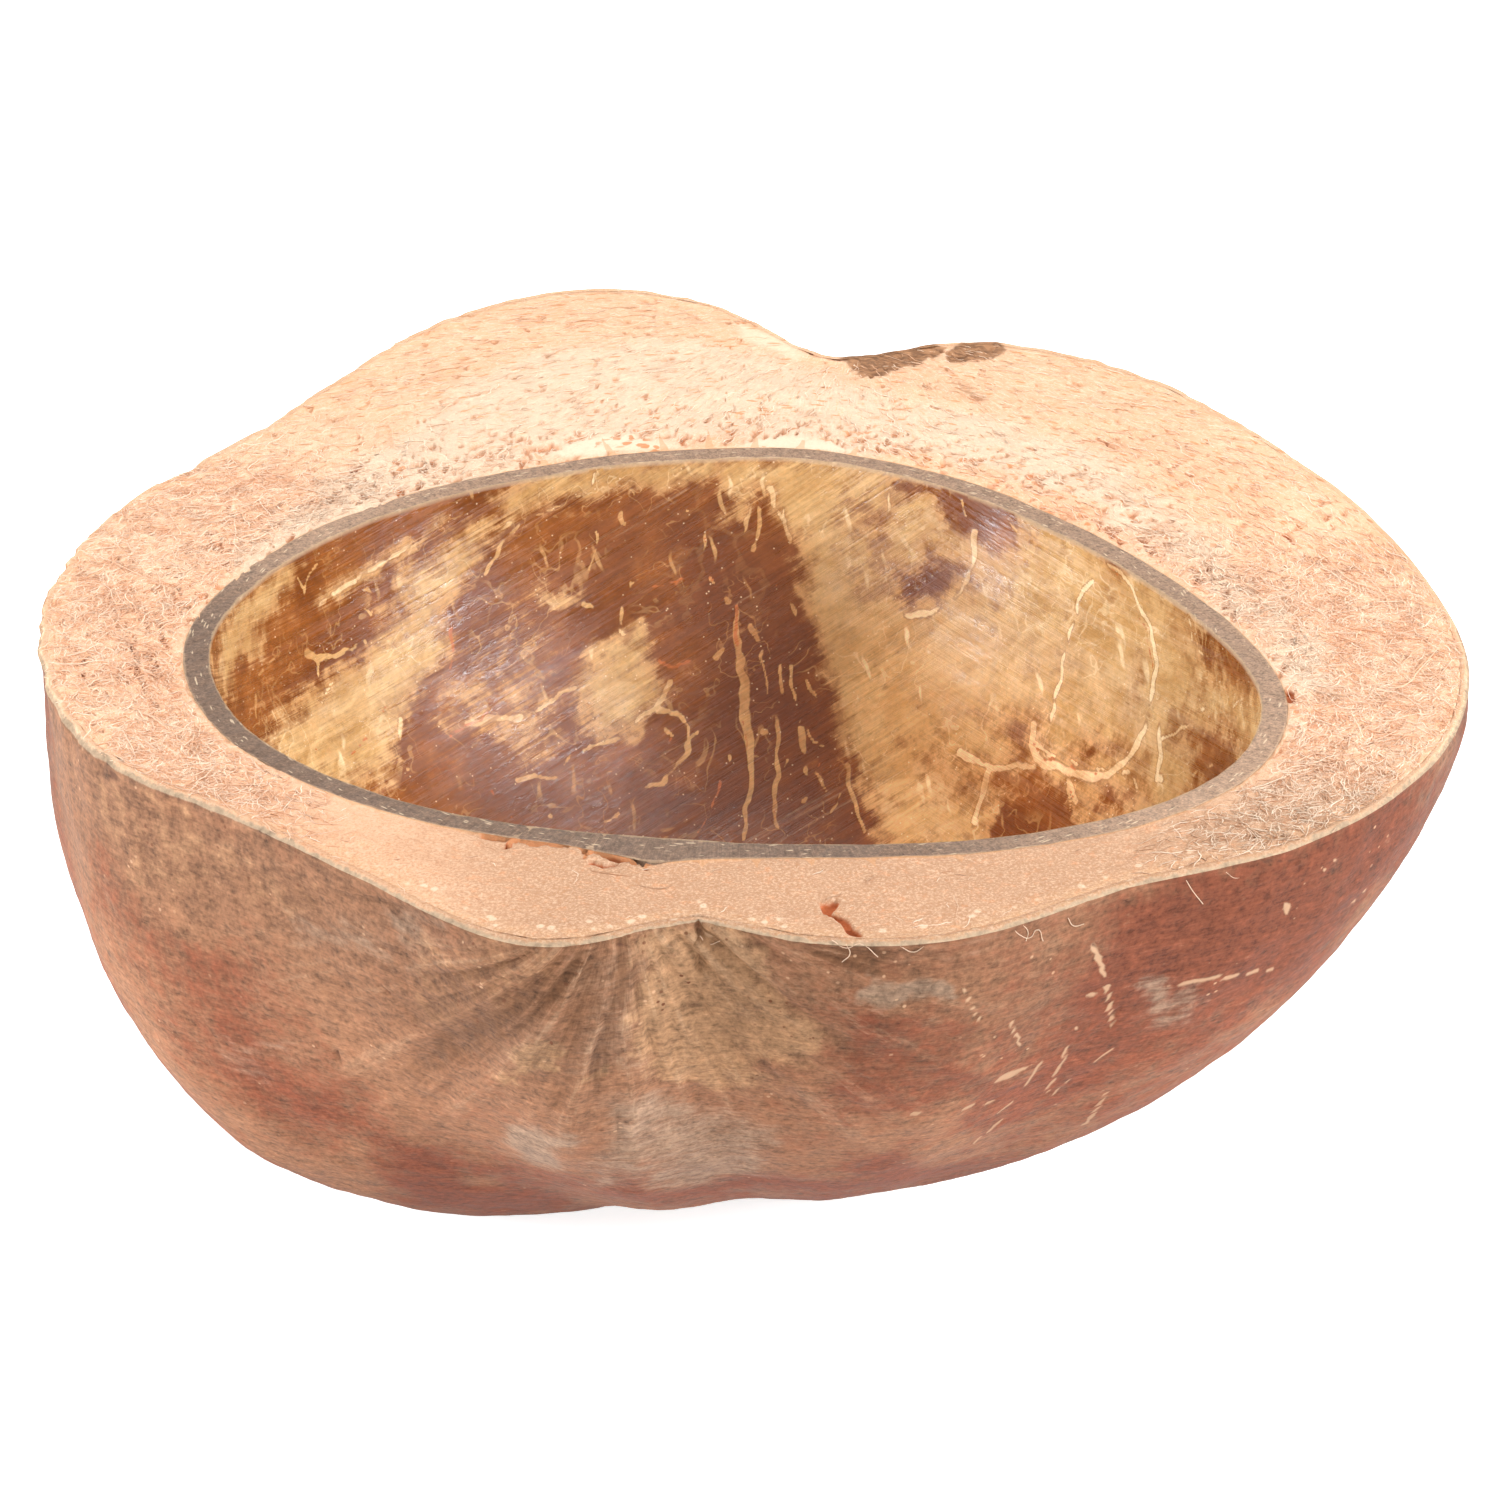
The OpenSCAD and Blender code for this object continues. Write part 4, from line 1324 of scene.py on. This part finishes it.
def shell_finish():
    finish = new_finish("polished_shell")
    cream, dark, seen, vein, rust, ring, crack = finish.values(
        "cream", "dark", "seen", "vein", "rust", "ring", "crack")
    lean = finish.along("X").between(0.018, 0.032)
    lines = both_ways(finish, lean)
    cloudy = finish.noise(105, 6, 0.68)
    cloudy_fine = finish.noise(360, 5, 0.7)
    grit = finish.noise(1500, 3, 0.65)
    edge = (cloudy - 0.5) * 1.0 + (cloudy_fine - 0.5) * 0.8 + (lines - 0.5) * (1.1 - seen * lean * 0.85)
    creaminess = (cream + edge).between(0.12, 0.98)
    vein_level = vein * (0.65 + cloudy_fine * 0.7) + (grit - 0.5) * 0.4 * vein.between(0.02, 0.4)
    vein_brown = finish.mix(cloudy.between(0.35, 0.65), (218, 168, 108), (192, 132, 76))
    vein_colour = finish.mix(creaminess, vein_brown, (250, 218, 168))
    vein_cover = (vein_level.between(0.36, 0.80) * 0.95).most(fine_veins(finish, seen))
    rust_level = rust * (0.5 + cloudy_fine) + (grit - 0.5) * 0.5 * rust.between(0.02, 0.4)
    specks = finish.cells(900).between(0.14, 0.07) * finish.noise(350, 1).between(0.44, 0.54)
    # light scratches that the last, coarser grit left
    coarse = sanding(finish, 30, 620, 16).between(0.60, 0.72)
    coarse = coarse.most(sanding(finish, -40, 620, 16).between(0.58, 0.70) * lean)
    colour = finish.painted(
        shell_ground(finish, creaminess, dark, cloudy, cloudy_fine),
        (vein.between(0.0, 0.30) * creaminess * 0.6, (150, 98, 56)),
        (vein_cover, vein_colour),
        (rust_level.between(0.32, 0.85) * 0.85, (190, 104, 52)),
        (specks * 0.85, (240, 208, 166)),
        (coarse * cloudy.between(0.4, 0.55) * 0.22, (236, 206, 170)))
    scored = (lines - 0.5) * (1.3 - creaminess * 0.6 - lean * 0.45)
    colour = finish.shaded(colour, 1.0 + scored + (grit - 0.5) * 0.55 + (cloudy_fine - 0.5) * 0.45)
    # painted light makes the wall paler low on the right, and painted shade makes it darker at its far end
    far = finish.along("X").between(0.042, 0.060)
    low = finish.along("Z").between(0.070, 0.050) * finish.along("X").between(0.010, 0.022) * (1 - far)
    colour = finish.shaded(colour, 1 + low * 0.5 - far * 0.16)
    marks = finish.noise(1.0, 3, 0.6, finish.round_axis(SHELL_AXIS, 900, 60))
    colour = finish.mix(ring, colour, ring_colour(finish, grit, cloudy_fine, marks))
    height = lines * 0.9 + cloudy_fine * 0.12 + vein * 0.10 - specks * 0.05 + ring * (marks * 0.8 - crack)
    wide_lines = both_ways(finish, lean, fine=520, run=14)
    gloss = 0.28 + (lines - 0.5) * 0.7 + (wide_lines - 0.5) * 2.0 + (cloudy_fine - 0.5) * 0.5
    return finish.close(colour, gloss.most(0.17) + ring * 0.6, height, 0.6, 0.0003, Specular_IOR_Level=0.62)


def fibre_finish():
    finish = new_finish("coir_fibre")
    [shade] = finish.values("shade")
    colour = finish.painted(
        husk_colour(finish),
        (shade.between(0.20, 0.0) * 0.25, (222, 160, 116)),
        (shade.between(0.10, 1.0) * 0.7, (255, 234, 208)))
    return finish.close(colour, 0.7, Specular_IOR_Level=0.2)


# Loose fibres

def strand_pattern(stations):
    """One straight fibre from 0 to 1 along X, three-sided and pointed, copied thousands of times."""
    bpy.ops.object.select_all(action="DESELECT")
    bpy.ops.mesh.primitive_cylinder_add(vertices=3, radius=1, depth=1, end_fill_type="TRIFAN",
                                        location=(0.5, 0, 0), rotation=(0, math.pi / 2, 0))
    strand = bpy.context.active_object
    bpy.ops.object.transform_apply(location=True, rotation=True)
    places = corners_of(strand)
    ends = np.array([tuple(e.vertices) for e in strand.data.edges])
    select_only(strand, edges=np.abs(places[ends[:, 0], 0] - places[ends[:, 1], 0]) > 0.5)
    bpy.ops.object.mode_set(mode="EDIT")
    bpy.ops.mesh.subdivide(number_cuts=stations)
    bpy.ops.mesh.select_all(action="SELECT")
    bpy.ops.mesh.quads_convert_to_tris()
    bpy.ops.object.mode_set(mode="OBJECT")
    places = corners_of(strand)
    faces = np.array([tuple(p.vertices) for p in strand.data.polygons])
    bpy.data.objects.remove(strand)
    slim = 0.35 + 0.65 * np.sin(math.pi * np.clip(places[:, 0], 0, 1)) ** 0.6
    places[:, 1:] = np.stack((places[:, 2], -places[:, 1]), axis=1) * slim[:, None]
    return places, faces


def lay_strands(name, roots, way, lengths, thick, bend, lift, shade, pattern):
    """Copies of the pattern along bent paths that start at the roots."""
    places, faces = pattern
    along, off_side, off_up = places[:, 0], places[:, 1], places[:, 2]
    side = beside(way)
    lengths, thick = lengths[:, None], thick[:, None]
    reach = along * lengths
    wave = 0.05 * np.sin(along * 9 + shade[:, None] * 40) * lengths
    sideways = bend[:, None] * along ** 2 * lengths + wave + off_side * thick
    x = roots[:, None, 0] + way[:, None, 0] * reach + side[:, None, 0] * sideways
    y = roots[:, None, 1] + way[:, None, 1] * reach + side[:, None, 1] * sideways
    z = roots[:, None, 2] + thick * 0.15 + lift[:, None] * np.sin(along * 2.4 + 0.2) + off_up * thick
    corners = np.clip(np.stack((x, y, z), axis=2).reshape(-1, 3), *cad_box)
    starts = np.arange(len(roots)) * len(places)
    all_faces = (faces[None, :, :] + starts[:, None, None]).reshape(-1)
    mesh = bpy.data.meshes.new(name)
    mesh.vertices.add(len(corners))
    mesh.vertices.foreach_set("co", corners.astype(np.float32).ravel())
    mesh.loops.add(len(all_faces))
    mesh.loops.foreach_set("vertex_index", all_faces.astype(np.int32))
    mesh.polygons.add(len(all_faces) // 3)
    mesh.polygons.foreach_set("loop_start", np.arange(0, len(all_faces), 3, dtype=np.int32))
    mesh.update(calc_edges=True)
    mesh.validate()
    piece = bpy.data.objects.new(name, mesh)
    bpy.context.collection.objects.link(piece)
    zones = {zone: np.repeat(values, len(places)) for zone, values in husk_zones(roots).items()}
    keep_values(piece, shade=np.repeat(shade, len(places)), **zones)
    return piece


def crowding(middles, areas):
    """How likely each face of the sawn husk is to carry a fibre's root."""
    flat = middles[:, :2]
    zones = husk_zones(middles)
    crowd = areas * (1 - 0.9 * zones["lens"]) * (1 - 0.5 * zones["torn"]) * (1 - 0.55 * zones["back"])
    inside = smoothly(rim_gap(flat), -0.3 * MM, 0.6 * MM) * smoothly(ring_gap(flat), 0.8 * MM, 2 * MM)
    crowd *= 0.03 + 0.97 * inside
    crowd *= 1 - 0.85 * smoothly(flat[:, 1] + flat[:, 0] * 0.2, 8 * MM, 32 * MM)
    # the sandy front has few loose fibres
    front = smoothly(-flat[:, 1], 46 * MM, 64 * MM)
    front *= smoothly(60 * MM - np.abs(flat[:, 0]), -8 * MM, 15 * MM)
    crowd *= 1 - 0.995 * front
    return crowd / crowd.sum()


def scatter_fibres():
    chance = np.random.default_rng(12)
    middles, normals = face_middles(husk)
    areas = np.empty(len(middles))
    husk.data.polygons.foreach_get("area", areas)
    where = np.flatnonzero((middles[:, 2] > CUT - 4 * MM) & (normals[:, 2] > 0.1))
    crowd = crowding(middles[where], areas[where])
    pattern = strand_pattern(4)
    pieces = []
    for k in range(FIBRE_PIECES):
        count = FIBRES_IN_A_PIECE
        chosen = chance.choice(where, count, p=crowd)
        roots = middles[chosen] + np.stack((chance.normal(0, 0.3, count), chance.normal(0, 0.3, count),
                                            np.zeros(count)), axis=1) * MM
        # fibres lie every way, but in order behind the shell
        loose = 1 - 0.7 * smoothly(roots[:, 1] + roots[:, 0] * 0.4, 20 * MM, 45 * MM)
        bend = chance.normal(0, 0.6, count) * loose
        turn = 0.12 * (1 - loose) + chance.normal(0, 0.75, count) * loose
        turn += math.pi * (chance.random(count) < 0.5)
        way = fibre_way(roots[:, :2])
        way = way * np.cos(turn)[:, None] + beside(way) * np.sin(turn)[:, None]
        lengths = np.clip(chance.lognormal(math.log(1.7), 0.6, count), 0.6, 12) * MM
        ends = roots[:, :2] + (way + beside(way) * bend[:, None]) * lengths[:, None]
        kept = (ring_gap(ends) > 0.3 * MM) & (rim_gap(ends) > -1.1 * MM)
        count = np.count_nonzero(kept)
        thick = np.clip(chance.normal(0.065, 0.02, count), 0.035, 0.11) * MM
        lift = np.abs(chance.normal(0, 0.04, count)) * MM * (1 + 3 * (chance.random(count) < 0.03))
        pieces.append(lay_strands(f"loose_fibres_{k + 1}", roots[kept], way[kept], lengths[kept], thick,
                                  bend[kept], lift, chance.random(count), pattern))
    return pieces


def single_fibres():
    """Single fibres that curl on the sawn face and over its edge."""
    shape = bpy.data.curves.new("single_fibres", "CURVE")
    shape.dimensions = "3D"
    shape.bevel_depth = 0.06 * MM
    shape.bevel_resolution = 1
    shape.resolution_u = 5
    shape.use_fill_caps = True
    laid = [on_piece(pixels, skin_tree) for pixels in EDGE_FIBRES]
    for pixels in LONG_FIBRES:
        laid.append(np.column_stack((on_cut(pixels), np.full(len(pixels), CUT - 0.15 * MM))))
    for path in laid:
        if len(path) < 2:
            continue
        line = shape.splines.new("BEZIER")
        line.bezier_points.add(len(path) - 1)
        for corner, place in zip(line.bezier_points, path):
            corner.co = np.clip(place, *cad_box)
            corner.handle_left_type = corner.handle_right_type = "AUTO"
    piece = bpy.data.objects.new("single_fibres", shape)
    bpy.context.collection.objects.link(piece)
    alone(piece)
    bpy.ops.object.convert(target="MESH")
    piece = bpy.context.active_object
    move_corners(piece, np.clip(corners_of(piece), *cad_box))
    keep_values(piece, shade=np.full(len(piece.data.vertices), 0.5))
    return piece


fibres = scatter_fibres() + [single_fibres()]
for guide in (skin_guide, husk_guide, shell_guide):
    bpy.data.objects.remove(guide)
for piece, paint, slot, node in ((skin, skin_finish(), "skin", "outer_skin"),
                                 (husk, sawn_husk(), "husk", "fibre_husk"),
                                 (shell, shell_finish(), "shell", "hard_shell")):
    alone(piece)
    bpy.ops.object.shade_smooth_by_angle(angle=math.radians(60))
    piece.data.materials.append(paint)
    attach(piece, "root")
    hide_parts(node)
coir = fibre_finish()
for piece in fibres:
    piece.data.materials.append(coir)
    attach(piece, "root")


# Floor and light

def shown_white(finish, *rays):
    """1 for the kinds of ray that meet a plain white background."""
    path = finish.node("LightPath").socket.node
    first, *others = (Wire(finish, path.outputs[ray]) for ray in rays)
    for other in others:
        first = first.most(other)
    return first


def make_floor():
    bpy.ops.object.select_all(action="DESELECT")
    bpy.ops.mesh.primitive_plane_add(size=6, location=(0, 0, 0))
    floor = bpy.context.active_object
    floor.name = "floor"
    finish = new_finish("pale_floor")
    shown = shown_white(finish, "Is Camera Ray", "Is Glossy Ray", "Is Transmission Ray")
    paint = finish.node("BsdfPrincipled", values={"Base Color": tone(232, 230, 227), "Roughness": 0.9,
                                                  "Emission Color": WHITE})
    glow = finish.node("Emission", values={"Color": WHITE, "Strength": shown * 0.8})
    both = finish.node("AddShader", values={0: paint, 1: glow})
    finish.node("OutputMaterial", values={"Surface": both})
    floor.data.materials.append(finish.owner)


def make_air():
    world = bpy.data.worlds.new("studio")
    bpy.context.scene.world = world
    air = Finish(world)
    shown = shown_white(air, "Is Camera Ray", "Is Transmission Ray")
    strength = air.node("MapRange", values={"Value": shown, "To Min": 0.38, "To Max": 1.0})
    light = air.node("Background", values={"Color": WHITE, "Strength": strength})
    air.node("OutputWorld", values={"Surface": light})


def soft_box(name, at, towards, size, watts, colour=(1.0, 1.0, 1.0)):
    bpy.ops.object.select_all(action="DESELECT")
    heading = Vector(np.asarray(towards) - np.asarray(at)).to_track_quat("-Z", "Y").to_euler()
    bpy.ops.object.light_add(type="AREA", location=at, rotation=heading)
    lamp = bpy.context.active_object
    lamp.name = name
    lamp.data.shape = "RECTANGLE"
    lamp.data.size, lamp.data.size_y = size
    lamp.data.energy = watts
    lamp.data.color = colour


def mirrored_box(name, pixel, watts):
    """A soft box placed where the polished wall mirrors it towards the camera at this pixel."""
    line = sight(pixel)
    hit, normal = shell_tree.ray_cast(Vector(EYE), Vector(line))[:2]
    normal = np.array(normal)
    back = line - 2 * (line @ normal) * normal
    soft_box(name, np.array(hit) + back * 0.8, np.array(hit), (0.20, 0.20), watts, (0.82, 0.91, 1.0))


bpy.context.scene.view_settings.view_transform = "Standard"
make_floor()
make_air()
soft_box("overhead", (0.0, 0.25, 1.1), (0, 0, 0.04), (1.2, 0.9), 10.2)
soft_box("front_fill", (0.0, -1.25, 0.40), (0, 0, 0.04), (0.9, 0.5), 3.3)
mirrored_box("left_box", (495, 690), 6.4)
mirrored_box("right_box", (960, 680), 6.8)
